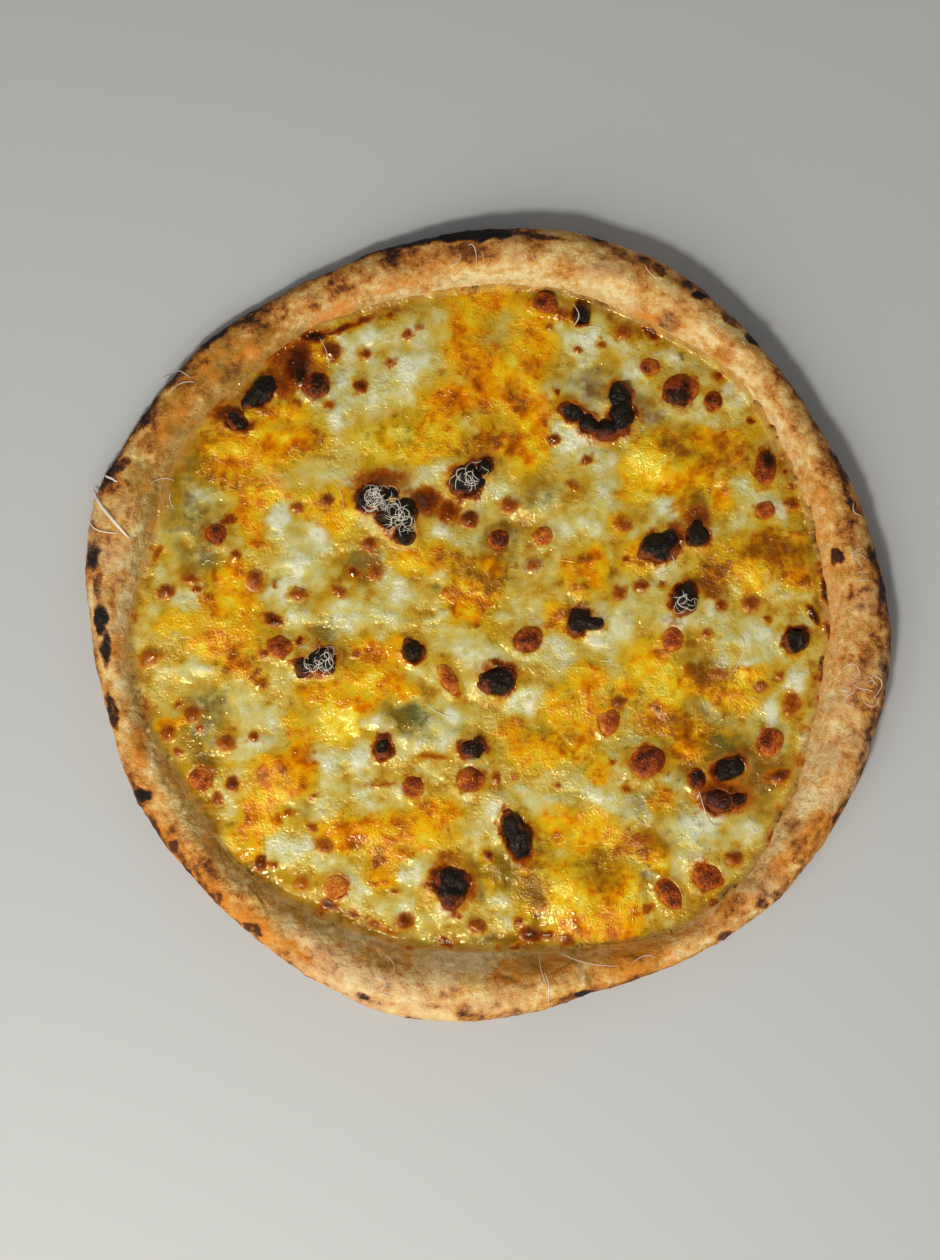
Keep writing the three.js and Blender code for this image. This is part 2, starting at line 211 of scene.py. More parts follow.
def round_point(share, fullness):
    """A point of a quarter of a rounded section, from level with its end (0) to its top (1)."""
    phase = share * math.pi / 2
    return math.cos(phase) ** (2 / fullness), math.sin(phase) ** (2 / fullness)


def inner_rise(share):
    """Rise of the inner slope, from its foot (0) to the crest (1)."""
    return np.sin(np.clip(share, 0, 1) * math.pi / 2) ** INNER_EASE


def dough_swell(angle, across):
    """Slow lumps round the rim, with faster ones across it."""
    return (
        0.55 * np.sin(13 * angle + 2 * across)
        + 0.45 * np.sin(19 * angle - 3 * across + 1)
        + 0.35 * np.sin(31 * angle + 5 * across + 2)
    )


def rim_section(angle):
    """Inner foot, crest, outer edge and height of the rim at each angle."""
    foot = around(CHEESE_RADIUS, angle) + 2 * GAP
    outer = around(OUTER_RADIUS, angle)
    return foot, foot + CREST_PLACE * (outer - foot), outer, around(RIM_HEIGHT, angle)


def crust_rows(angle):
    """Rows of radius, height and rim share, from the middle of the underside round the edge to
    the middle of the floor under the cheese. The rim share is 0 under the dough and the cheese."""
    foot, crest, outer, height = rim_section(angle)
    widest = WIDEST_PLACE * height
    rows = [((outer - TUCK) * share, 0 * angle, 0) for share in UNDER_PLACES]
    for k in range(1, TUCK_STEPS + 1):
        away, up = round_point(1 - k / TUCK_STEPS, 2)
        rows.append((outer - TUCK * (1 - away), widest * (1 - up), k / TUCK_STEPS))
    for k in range(1, OUTER_STEPS + 1):
        share = k / OUTER_STEPS
        away, up = round_point(share, OUTER_FULLNESS)
        swell = dough_swell(angle, share) * share
        rows.append((crest + (outer - crest) * away, widest + (height - widest) * up + swell, 1))
    for k in range(INNER_STEPS - 1, -1, -1):
        share = k / INNER_STEPS
        swell = dough_swell(angle, 2 - share) * share
        rise = (height - BASE_THICKNESS) * inner_rise(share) + swell
        rows.append((foot + (crest - foot) * share, BASE_THICKNESS + rise, min(1, 4 * share)))
    rows += [(foot * share, 0 * angle + BASE_THICKNESS, 0) for share in FLOOR_PLACES]
    return rows


def get_points(piece):
    """The points of a piece in millimetres."""
    flat = np.empty(3 * len(piece.data.vertices))
    piece.data.vertices.foreach_get("co", flat)
    return flat.reshape(-1, 3) / MM


def set_points(piece, points):
    """Moves the points of a piece, given in millimetres."""
    piece.data.vertices.foreach_set("co", (points * MM).ravel())
    piece.data.update()


def get_normals(piece):
    """The directions that the points of a piece face."""
    flat = np.empty(3 * len(piece.data.vertices))
    piece.data.vertex_normals.foreach_get("vector", flat)
    return flat.reshape(-1, 3)


def store(piece, name, values):
    """Keeps a value at each point of a piece, for its material to read."""
    layer = piece.data.attributes.new(name, "FLOAT", "POINT")
    layer.data.foreach_set("value", np.clip(values, 0, 1).astype(np.float32))


def recall(piece, name):
    """The values that store() kept."""
    values = np.empty(len(piece.data.vertices), np.float32)
    piece.data.attributes[name].data.foreach_get("value", values)
    return values.astype(float)


def start_piece(name):
    """Names the new primitive, which is the active object, and leaves nothing else selected."""
    piece = bpy.context.object
    piece.name = name
    piece.data.name = name
    while piece.data.uv_layers:
        piece.data.uv_layers.remove(piece.data.uv_layers[0])
    return piece


def merge_doubles():
    """Joins the points of the active piece that lie together, and turns its faces outwards."""
    bpy.ops.object.mode_set(mode="EDIT")
    bpy.ops.mesh.select_all(action="SELECT")
    bpy.ops.mesh.remove_doubles(threshold=0.001 * MM)
    bpy.ops.mesh.normals_make_consistent(inside=False)
    bpy.ops.object.mode_set(mode="OBJECT")


bpy.ops.object.select_all(action="DESELECT")
rows = crust_rows(np.arange(CRUST_TURNS + 1) * TURN / CRUST_TURNS)
bpy.ops.mesh.primitive_grid_add(
    x_subdivisions=CRUST_TURNS, y_subdivisions=len(rows) - 1, size=2
)
crust = start_piece("baked_crust")
sheet = get_points(crust) * MM
turn_index = np.rint((sheet[:, 0] + 1) / 2 * CRUST_TURNS).astype(int)
row_index = np.rint((sheet[:, 1] + 1) / 2 * (len(rows) - 1)).astype(int)
radius = np.array([row[0] for row in rows])[row_index, turn_index]
height = np.array([row[1] for row in rows])[row_index, turn_index]
angle = TURN * (turn_index % CRUST_TURNS) / CRUST_TURNS
set_points(crust, np.column_stack([radius * np.cos(angle), radius * np.sin(angle), height]))
store(crust, "rim_share", np.array([row[2] for row in rows])[row_index])
merge_doubles()
points = get_points(crust)
rim_share = recall(crust, "rim_share")
radius, angle = np.hypot(points[:, 0], points[:, 1]), np.arctan2(points[:, 1], points[:, 0])

# Flat blisters: angle in degrees, radius, half size, rise. Smaller ones are random.
RIM_BLISTERS = [
    (57, 156, 4, 1.3), (46, 155, 4.5, 1.3), (315, 152, 4.5, 1.1), (207, 149, 4.5, 1.2),
    (216, 150, 4, 1.1), (285, 151, 4.5, 1.2), (252, 155, 3.5, 1), (178, 155, 4.5, 1.1),
    (11.5, 150, 4, 1.3), (130, 148, 4, 1), (118, 149, 4.5, 1), (143, 158, 4.5, 1.3),
    (342, 155, 4.5, 1),
]
SMALL_BLISTERS = 170
DIMPLES = 150
chance = np.random.default_rng(7)


def bump_out(points, middle, half, rise):
    """A smooth round rise on a surface, in millimetres along its normals."""
    away = np.linalg.norm(points - middle, axis=1) / half
    return rise * np.clip(1 - away * away, 0, 1) ** 1.5


lift = 0.75 * noise(points, 23, 1) + 0.42 * noise(points, 9, 2)
lift += 0.3 * noise(points, 4, 3) + 0.16 * noise(points, 2, 4)
crease = noise(points * [1, 1, 1.4], 17, 5)
lift -= 0.55 * fade(np.abs(crease), 0.07, 0.0) * fade(noise(points, 30, 6), -0.1, 0.3)
rim_points = np.flatnonzero(rim_share > 0.99)
for degrees, spot_radius, half, rise in RIM_BLISTERS:
    at = math.radians(degrees)
    near = points - [spot_radius * math.cos(at), spot_radius * math.sin(at), 0]
    away = np.hypot(near[:, 0], near[:, 1]) / half
    lift += rise * np.clip(1 - away * away, 0, 1) * (points[:, 2] > 6)
for number in range(SMALL_BLISTERS + DIMPLES):
    middle = points[chance.choice(rim_points)]
    half = chance.uniform(1.2, 3.6)
    rise = chance.uniform(0.25, 0.6) if number < SMALL_BLISTERS else -chance.uniform(0.3, 0.6)
    lift += bump_out(points, middle, half if rise > 0 else 0.6 * half, rise)
moved = points + get_normals(crust) * (lift * rim_share)[:, None]
moved[:, 2] = np.maximum(moved[:, 2], 0)
set_points(crust, moved)
crust_points = moved

# How brown the rim is round its crest, how black its outer side, how oily its inner slope and how
# floury it is, every 15 degrees from +X.
RIM_BROWN = [
    0.48, 0.46, 0.43, 0.4, 0.38, 0.38, 0.4, 0.46, 0.46, 0.52, 0.46, 0.32,
    0.28, 0.36, 0.47, 0.44, 0.34, 0.34, 0.37, 0.4, 0.31, 0.29, 0.34, 0.42,
]
EDGE_BLACK = [
    0.15, 0.3, 0.35, 0.4, 0.5, 0.4, 1, 0.75, 0.6, 0.85, 0.75, 0.35,
    0.3, 0.35, 0.45, 0.2, 0.05, 0.05, 0.1, 0.85, 0.6, 0.35, 0.3, 0.2,
]
RIM_OIL = [
    0.5, 0.7, 0.6, 0.2, 0.05, 0.1, 0.3, 0.45, 0.65, 0.9, 1, 0.5,
    0.35, 0.75, 0.9, 0.7, 0.4, 0.25, 0.3, 0.9, 0.6, 0.3, 0.15, 0.1,
]
RIM_FLOUR = [
    0.45, 0.3, 0.35, 0.45, 0.5, 0.45, 0.3, 0.25, 0.2, 0.15, 0.2, 0.5,
    0.6, 0.35, 0.15, 0.3, 0.68, 0.7, 0.62, 0.25, 0.4, 0.5, 0.55, 0.55,
]
FOOT_GLAZE = [  # how strongly the oil of the cheese has stained the dough next to it
    0.55, 0.6, 0.45, 0.3, 0.25, 0.25, 0.35, 0.5, 0.8, 0.8, 0.7, 0.65,
    0.65, 0.6, 0.6, 0.65, 0.5, 0.3, 0.3, 0.45, 0.6, 0.5, 0.4, 0.5,
]
# Scorched places: middle, half sizes, turn in degrees and strength (1 is black).
SCORCHES = [
    (-8, 159.5, 28, 3.2, 0, 1), (-30, 157, 12, 3, 10, 0.95), (18, 159, 16, 2, -6, 0.8),
    (-6, 152, 14, 5, 0, 0.62), (-28, 149, 9, 4, 10, 0.55), (71, 145, 3.2, 2.4, -30, 0.75),
    (87, 135, 3, 2.5, 0, 0.95), (110, 117, 4.4, 3.6, -45, 0.95), (75, 124, 6.5, 4, -25, 0.6),
    (98, 110, 4.5, 3.5, -40, 0.5), (100, 124, 6, 2, -45, 0.75), (56, 150, 8, 2.2, -15, 0.62),
    (131, 96, 3, 7, 35, 0.6), (148, 52, 1.4, 7, 18, 0.8), (144, 28, 2.3, 3.2, 0, 1),
    (137, 16, 2.4, 4.4, 15, 0.95), (133.5, 7, 1.6, 6, 22, 0.9), (158, 40, 1.8, 6, 15, 0.6),
    (160, -40, 2.5, 9, -12, 0.6), (147, -14, 3, 2.2, 0, 0.55), (125, -82, 4, 5, 30, 0.52),
    (118, -100, 5, 4, 0, 0.52), (104, -112, 5, 4, 0, 0.55), (113, -114, 3.5, 3.2, 0, 0.75),
    (119, -111, 3, 2.4, 0, 0.72), (98, -127, 3.6, 2.6, 20, 0.75), (135, -86, 3, 7, -30, 0.6),
    (72, -146, 15, 3.2, 20, 1), (55, -151, 8, 2.4, 10, 0.85), (40, -151, 5, 2.3, -3, 1),
    (62, -137, 16, 4, 16, 0.5), (18, -146, 4, 2, 0, 0.55), (-50, -151, 3, 2.6, 0, 0.85),
    (-36, -142, 2.6, 2, 0, 0.6), (-27, -146, 2.4, 2, 0, 0.55), (-21, -155, 2.6, 2, 0, 0.55),
    (-38, -155, 2, 1.6, 0, 0.5), (-7, -156, 2.6, 2, 0, 0.58), (4, -155.5, 2.2, 1.8, 0, 0.5),
    (11, -157, 2.4, 1.8, 0, 0.55), (-60, -143, 4, 3, -30, 0.5), (-75, -136, 4, 2.5, -30, 0.5),
    (-95, -124, 5, 2.6, -38, 0.9), (-121, -103, 2, 6, 40, 0.85), (-127, -91, 3, 4, 30, 0.9),
    (-140, -70, 4, 4.4, 25, 1), (-136, -79, 2, 6, 35, 0.6), (-152, -35, 2.4, 9, 15, 0.85),
    (-155, -10, 2.4, 8, 8, 0.9), (-157, 2, 2.8, 7, 0, 1), (-160, 28, 3.6, 7, -5, 0.9),
    (-158, 16, 2.5, 7, 0, 0.7), (-150, 20, 4, 3, 0, 0.5), (-149, 65, 4.5, 3, 30, 0.8),
    (-152, 56, 5, 3, 30, 0.6), (-141, 84, 8, 3.6, 50, 0.85), (-128, 101, 9, 2.6, 48, 0.75),
    (-112, 117, 9, 2.2, 42, 0.95), (-96, 130, 9, 1.8, 36, 0.85), (-80, 141, 9, 1.8, 30, 0.8),
    (-62, 149, 10, 1.6, 22, 0.8), (-137, 74, 7, 5, 30, 0.5), (-104, 104, 8, 4, 42, 0.6),
    (-60, 143, 12, 3, 22, 0.5), (-36, 141, 12, 2, 8, 0.45),
]
# Glazed places on the rim: middle, half sizes, turn, strength and share of orange (0 olive).
# The olive ones on the inner slope at the lower left, near (-108, -92), (-128, -60) and (-80,
# -117), are partly painted shade.
GLAZES = [
    (-94, 115, 13, 5, 35, 1, 0.65), (-62, 128, 14, 4, 20, 0.8, 1),
    (-112, 106, 17, 8, 42, 0.9, 0.5), (-125, 91, 9, 6, 45, 0.9, 0.4),
    (-129, 81, 10, 6, 50, 0.9, 0.6), (-117, 78, 9, 9, 0, 1, 0.05), (-124, 62, 10, 10, 0, 1, 0.1),
    (-139, 58, 8, 11, 20, 0.8, 0.15), (-110, 90, 6, 6, 0, 1, 0.1), (-136, 42, 7, 14, 8, 0.9, 0.1),
    (-150, -7, 4, 10, 0, 0.7, 1), (95, 108, 8, 4, -45, 0.55, 0.9), (65, 126, 9, 4, -25, 0.8, 1),
    (80, 120, 8, 3, -35, 0.5, 1), (138, 47, 5, 14, 12, 0.55, 0.8), (143, 20, 4, 12, 5, 0.6, 0.8),
    (-130, -88, 5, 14, 38, 1, 1), (-112, -110, 14, 5, -45, 1, 1), (-95, -122, 14, 5, -38, 1, 1),
    (-78, -131, 12, 5, -30, 0.8, 1), (62, -137, 20, 11, 18, 0.8, 0.9),
    (92, -120, 16, 9, 40, 0.65, 1), (118, -98, 8, 14, -42, 0.5, 1),
    (20, -140, 22, 7, 5, 0.9, 0.5), (-20, 146, 18, 4, 3, 0.5, 1), (-36, 138, 12, 3, 10, 0.7, 1),
    (-142, -50, 5, 14, 15, 0.7, 0.9), (-108, -92, 5, 14, 45, 0.8, 0.2),
    (-128, -60, 5, 14, 25, 0.7, 0.2), (147, -60, 6, 20, -20, 0.6, 1),
    (-80, -117, 16, 4, -32, 0.8, 0.3), (-40, -136, 26, 7, -12, 0.7, 0.6),
    (136, -82, 7, 14, -30, 0.7, 1), (134, 8, 5, 16, 5, 0.55, 0.9),
    (-136, -14, 5, 14, 0, 0.5, 0.8),
]
bend_x = crust_points[:, 0] + 1.6 * noise(crust_points, 7, 11) + 0.7 * noise(crust_points, 2.2, 12)
bend_y = crust_points[:, 1] + 1.6 * noise(crust_points, 7, 13) + 0.7 * noise(crust_points, 2.2, 14)
foot, crest, outer, _ = rim_section(angle)
up_slope = (radius - foot) / (crest - foot)
past_crest = np.clip((radius - crest) / (outer - crest), 0, 1)
brown = around(RIM_BROWN, angle) * fade(up_slope, 0.1, 1)
brown += 0.27 * noise(crust_points, 14, 15) + 0.24 * noise(crust_points, 6, 16) - 0.02
# Beyond the crest the rim is darker all round: partly browning, partly painted shade on its steep
# outer side.
brown += 0.12 * noise(crust_points, 2.6, 23) + 0.22 * fade(past_crest, 0.45, 1)
streaks = noise(np.column_stack([radius / 2.6, 9 * angle, 0 * angle]), 1, 22)
brown += 0.12 * streaks * fade(up_slope, 0.0, 0.4)
black = around(EDGE_BLACK, angle) * fade(past_crest, 0.5, 0.95)
brown = np.maximum(brown, black * (0.75 + 0.35 * noise(crust_points, 6, 17)))
brown = np.maximum(brown, cover(bend_x, bend_y, SCORCHES, 0.45))
underneath = fade(crust_points[:, 2], 3, 1) * (1 - fade(rim_share, 0.99, 1))
leopard = fade(noise(crust_points, 13, 18) + 0.5 * noise(crust_points, 5, 19), 0.1, 0.75)
brown = np.where(underneath > 0.5, 0.35 + 0.55 * leopard, brown)
oil = around(RIM_OIL, angle) * fade(up_slope, 1.25, 0.2) + 0.15 * noise(crust_points, 8, 20)
oil = np.maximum(oil, fade(up_slope + 0.3 * noise(crust_points, 9, 24), 0.6, 0.0))
# Darker at the foot of the inner slope: partly scorch, partly painted shade in the crease where
# the rim meets the cheese.
brown += 0.06 * fade(up_slope + 0.2 * noise(crust_points, 5, 25), 0.35, -0.1)
flour = around(RIM_FLOUR, angle) + 0.35 * noise(crust_points, 14, 21)
glaze = cover(bend_x + 2 * noise(crust_points, 12, 26), bend_y, GLAZES, 0.75)
stained = up_slope + 0.25 * noise(crust_points, 9, 27) + 0.15 * noise(crust_points, 3.5, 28)
glaze = np.maximum(glaze, around(FOOT_GLAZE, angle) * fade(stained, 0.85, 0.35))
orange = 0.45 + 0.45 * np.cos(angle + 0.5)
for spot in GLAZES:
    orange += fade(reach(bend_x, bend_y, spot), 1.75, 0.25) * (spot[6] - orange)
orange += 0.45 * noise(crust_points, 8, 29) + 0.3 * noise(crust_points, 3.5, 30)
store(crust, "brown", brown)
store(crust, "glaze", glaze * (underneath < 0.5))
store(crust, "orange", orange)
store(crust, "oil", oil * (underneath < 0.5))
store(crust, "flour", flour)
bpy.ops.object.shade_smooth()


def add_node(tree, kind, inputs, **settings):
    """A shader node with its settings, and its inputs set to values or joined to outputs."""
    node = tree.nodes.new(kind)
    for name, value in settings.items():
        setattr(node, name, value)
    for socket, value in inputs.items():
        if isinstance(value, bpy.types.NodeSocket):
            tree.links.new(value, node.inputs[socket])
        else:
            node.inputs[socket].default_value = value
    return node


def place_in_mm(tree):
    """The place on the piece, in millimetres."""
    coordinates = add_node(tree, "ShaderNodeTexCoord", {})
    scale = {"Vector": coordinates.outputs["Object"], "Scale": (1 / MM, 1 / MM, 1 / MM)}
    return add_node(tree, "ShaderNodeMapping", scale).outputs["Vector"]


def stored(tree, name):
    """A value that store() kept at the points of the piece."""
    return add_node(tree, "ShaderNodeAttribute", {}, attribute_name=name).outputs["Fac"]


def grain(tree, place, size, detail=3.0, roughness=0.55, warp=0.0):
    """Random values about 0.5, in lumps of a size in millimetres."""
    inputs = {
        "Vector": place, "Scale": 1 / size, "Detail": detail, "Roughness": roughness,
        "Distortion": warp,
    }
    return add_node(tree, "ShaderNodeTexNoise", inputs).outputs["Fac"]


def calculate(tree, operation, first, second=0.0, third=0.0):
    """One sum on two or three values."""
    inputs = {0: first, 1: second, 2: third}
    return add_node(tree, "ShaderNodeMath", inputs, operation=operation).outputs[0]


def vary(tree, value, *changes):
    """A value with random values added, each given as a source about 0.5 and an amount."""
    for source, amount in changes:
        shifted = calculate(tree, "SUBTRACT", source, 0.5)
        value = calculate(tree, "MULTIPLY_ADD", shifted, amount, value)
    return value


def stretch(tree, value, low, high, to_low=0.0, to_high=1.0):
    """A value from low to high, smoothly carried to another range."""
    inputs = {
        "Value": value, "From Min": low, "From Max": high, "To Min": to_low, "To Max": to_high,
    }
    node = add_node(tree, "ShaderNodeMapRange", inputs, interpolation_type="SMOOTHSTEP")
    return node.outputs["Result"]


def colours(tree, value, *stops):
    """A colour for each value, from stops of a place and a colour."""
    node = add_node(tree, "ShaderNodeValToRGB", {"Fac": value})
    elements = node.color_ramp.elements
    while len(elements) < len(stops):
        elements.new(0.5)
    for element, (place, _) in zip(elements, stops):
        element.position = place
    for element, (place, colour) in zip(elements, stops):
        element.position = place
        element.color = colour
    return node.outputs["Color"]


def blend(tree, share, first, second, how="MIX"):
    """One colour over another, or multiplied by it."""
    inputs = {"Factor": share, "A": first, "B": second}
    node = tree.nodes.new("ShaderNodeMix")
    node.data_type = "RGBA"
    node.blend_type = how
    sockets = {"Factor": node.inputs[0], "A": node.inputs[6], "B": node.inputs[7]}
    for name, value in inputs.items():
        if isinstance(value, bpy.types.NodeSocket):
            tree.links.new(value, sockets[name])
        else:
            sockets[name].default_value = value
    return node.outputs[2]


def raise_surface(tree, shader, *layers):
    """Fine relief from sources about 0.5, each with its depth in millimetres."""
    normal = None
    for source, depth in layers:
        inputs = {"Height": source, "Distance": depth * MM, "Strength": 1.0}
        if normal is not None:
            inputs["Normal"] = normal
        normal = add_node(tree, "ShaderNodeBump", inputs).outputs["Normal"]
    tree.links.new(normal, shader.inputs["Normal"])


dough, tree, shader = new_material("baked_dough")
place = place_in_mm(tree)
coarse = grain(tree, place, 3.2, 4, 0.6, 0.4)
fine = grain(tree, place, 0.9, 5, 0.65)
baked = vary(tree, stored(tree, "brown"), (coarse, 0.8), (fine, 0.55))
dough_colour = colours(
    tree, baked,
    (0.02, srgb(244, 220, 160)), (0.2, srgb(231, 191, 114)), (0.38, srgb(214, 157, 79)),
    (0.52, srgb(196, 123, 47)), (0.66, srgb(136, 76, 28)), (0.82, srgb(60, 36, 22)),
    (0.98, srgb(22, 18, 16)),
)
oiled = stretch(tree, vary(tree, stored(tree, "oil"), (coarse, 0.4)), 0.2, 0.95)
soaked = colours(
    tree, baked,
    (0.05, srgb(224, 184, 104)), (0.35, srgb(200, 148, 66)), (0.55, srgb(152, 94, 34)),
    (0.8, srgb(50, 32, 20)),
)
dough_colour = blend(tree, calculate(tree, "MULTIPLY", oiled, 0.75), dough_colour, soaked)
glaze_colour = blend(tree, stored(tree, "orange"), srgb(148, 112, 28), srgb(220, 132, 28))
glaze_colour = blend(tree, stretch(tree, baked, 0.45, 0.85), glaze_colour, srgb(90, 44, 16))
glazed = stretch(tree, vary(tree, stored(tree, "glaze"), (coarse, 0.9), (fine, 0.4)), 0.1, 0.95)
dough_colour = blend(tree, calculate(tree, "MULTIPLY", glazed, 0.9), dough_colour, glaze_colour)
dusty = vary(tree, stored(tree, "flour"), (grain(tree, place, 1.6, 5, 0.7, 0.6), 0.9), (fine, 0.4))
dusty = calculate(tree, "MULTIPLY", stretch(tree, dusty, 0.4, 1.0), 0.75)
dusty = calculate(tree, "MULTIPLY", dusty, stretch(tree, baked, 0.95, 0.35))
dusty = calculate(tree, "MULTIPLY", dusty, stretch(tree, glazed, 1.0, 0.2))
dough_colour = blend(tree, dusty, dough_colour, srgb(228, 200, 150))
tree.links.new(dough_colour, shader.inputs["Base Color"])
tree.links.new(stretch(tree, oiled, 0, 1, 0.72, 0.42), shader.inputs["Roughness"])
shader.inputs["Specular IOR Level"].default_value = 0.2
raise_surface(tree, shader, (coarse, 1.1), (fine, 0.4))
crust.data.materials.append(dough)
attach(crust, "root")
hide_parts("crust")

# ---- Melted cheese -----------------------------------------------------------------------------
# Shredded white cheese and slices of golden cheese melted into one soft blanket, which rose in
# small bubbles, browned on their tops, and crept a little way up the inner slope of the rim.
CHEESE_THICKNESS = 2.5
CHEESE_FLOOR = BASE_THICKNESS + GAP
EDGE_THINNING = 1.1
EDGE_REACH = 9
POOL_THICKNESS = 0.9
CHEESE_CELLS = 310
CREEP = 4.5  # how far the cheese reaches past the rim's foot

# Golden cheese: middle, half sizes, turn and hue (0 lemon, 0.5 gold, 1 deep orange).
# Painted highlight: the lemon patches at (66, 65) and (75, -25) are partly bright highlights put
# into the colour.
GOLD = [
    (-2, 133, 16, 6, 0, 0.4), (-8, 118, 10, 9, 0, 0.6), (-4, 107, 11, 7, 0, 0.65),
    (5, 107, 9, 7, 0, 0.35), (20, 117, 9, 13, 0, 0.45), (0, 93, 18, 9, 0, 0.75),
    (-15, 92, 11, 6, 0, 0.6), (20, 92, 7, 12, 0, 0.6), (2, 75, 15, 6, 0, 0.85),
    (-22, 78, 9, 8, 0, 0.35), (20, 75, 6, 8, 0, 0.5), (18, 70, 7, 8, 0, 0.4),
    (-100, 110, 12, 7, -20, 0.3), (-90, 117, 8, 6, 0, 0.35), (-70, 107, 7, 8, 0, 0.35),
    (-120, 88, 12, 7, 25, 0.5), (-110, 75, 12, 8, 0, 0.6), (-97, 76, 9, 8, 0, 0.45),
    (-87, 71, 10, 9, 0, 0.45), (-75, 77, 9, 7, 0, 0.65), (-104, 62, 14, 6, 0, 0.7),
    (-85, 87, 12, 4, 0, 0.5), (-96, 47, 7, 7, 0, 0.6), (-94, 36, 5, 6, 0, 0.6),
    (-88, 55, 12, 5, 0, 0.5), (-66, 48, 8, 8, 0, 0.35), (-59, 44, 6, 9, 0, 0.25),
    (-104, 20, 8, 6, 0, 0.6), (-106, 8, 12, 6, 0, 0.55), (-103, -3, 12, 10, 0, 0.6),
    (-127, 1, 9, 5, 0, 0.3), (-113, -9, 8, 5, 0, 0.35), (-101, -18, 9, 5, 0, 0.8),
    (-66, -28, 10, 5, -10, 0.6), (-60, -40, 9, 9, 0, 0.02), (-77, -45, 6, 7, 0, 0.6),
    (-130, -42, 7, 4, 0, 0.7), (-85, -58, 10, 6, 0, 0.55), (-75, -57, 6, 9, 0, 0.7),
    (-93, -70, 8, 9, 0, 0.55), (-91, -80, 8, 6, 0, 0.7), (-82, -66, 9, 5, 0, 0.5),
    (-98, -90, 7, 8, 0, 0.4), (-60, -86, 8, 7, 0, 0.55), (-52, -84, 8, 6, 0, 0.7),
    (-38, -84, 12, 8, 0, 0.6), (-18, -77, 9, 6, 0, 0.55), (-22, -87, 10, 6, 0, 0.4),
    (-38, -95, 8, 4, 0, 0.7), (-42, -103, 7, 6, 0, 0.5), (-13, -96, 6, 3, 0, 0.7),
    (3, -102, 5, 6, 0, 0.15), (45, -86, 10, 9, 0, 0.4), (32, -82, 10, 8, 0, 0.4),
    (20, -103, 6, 9, 0, 0.55), (35, -110, 10, 12, 0, 0.25), (52, -110, 8, 18, 0, 0.5),
    (40, -125, 15, 5, 0, 0.55), (20, -118, 5, 6, 0, 0.3), (20, -55, 10, 5, 0, 0.4),
    (47, -60, 6, 5, 0, 0.35), (66, 65, 8, 9, 0, 0.06), (-30, 26, 8, 6, 0, 0.5),
    (-17, 27, 8, 6, 0, 0.75), (-12, 10, 5, 9, 0, 0.7), (-2, 12, 8, 7, 0, 0.6),
    (-3, 3, 5, 4, 0, 0.7), (-42, -10, 14, 6, 0, 0.6), (-45, -23, 12, 7, 0, 0.5),
    (-50, -30, 7, 6, 0, 0.6), (-32, -26, 6, 4, 0, 0.5), (-55, -40, 4, 5, 0, 0.05),
    (0, 22, 10, 8, 0, 0.7), (-38, 76, 18, 8, 0, 0.1), (40, 22, 8, 9, 0, 0.65),
    (28, 4, 6, 6, 0, 0.55), (47, 25, 4, 8, 0, 0.35), (55, 42, 4, 4, 0, 0.5),
    (42, -22, 8, 8, 0, 0.5), (45, -35, 8, 8, 0, 0.45), (13, -44, 11, 5, -15, 0.7),
    (30, -32, 5, 7, 0, 0.4), (36, -48, 10, 8, 0, 0.5), (17, -53, 6, 4, 0, 0.5),
    (30, -50, 6, 4, 0, 0.75), (75, 74, 13, 7, 0, 0.35), (95, 77, 14, 5, 0, 0.65),
    (90, 66, 12, 8, 0, 0.55), (103, 71, 7, 5, -30, 0.85), (77, 58, 12, 6, 0, 0.5),
    (97, 52, 5, 6, 0, 0.6), (60, 58, 6, 8, 0, 0.45), (85, 47, 6, 5, 0, 0.35),
    (115, 30, 16, 8, 0, 0.65), (124, 36, 7, 4, 0, 0.75), (128, 20, 8, 6, 0, 0.85),
    (108, 20, 8, 6, 0, 0.35), (93, 20, 8, 9, 0, 0.8), (63, 28, 6, 6, 0, 0.4),
    (65, -15, 9, 9, 0, 0.3), (72, -14, 5, 6, 0, 0.6), (75, -25, 7, 7, 0, 0.1),
    (86, -24, 10, 5, -35, 0.4), (98, -25, 7, 6, -30, 0.5), (88, -19, 7, 4, -30, 0.9),
    (104, -32, 7, 6, 0, 0.6), (72, -38, 10, 8, 0, 0.65), (86, -45, 10, 7, 0, 0.6),
    (85, -53, 8, 5, 0, 0.6), (108, -20, 8, 5, 0, 0.3), (57, -25, 5, 6, 0, 0.35),
    (62, -90, 8, 4, 0, 0.7), (72, -72, 6, 5, 0, 0.6), (70, -96, 6, 5, 0, 0.5),
    (60, -113, 6, 8, 0, 0.15), (58, -124, 8, 6, 0, 0.55),
]
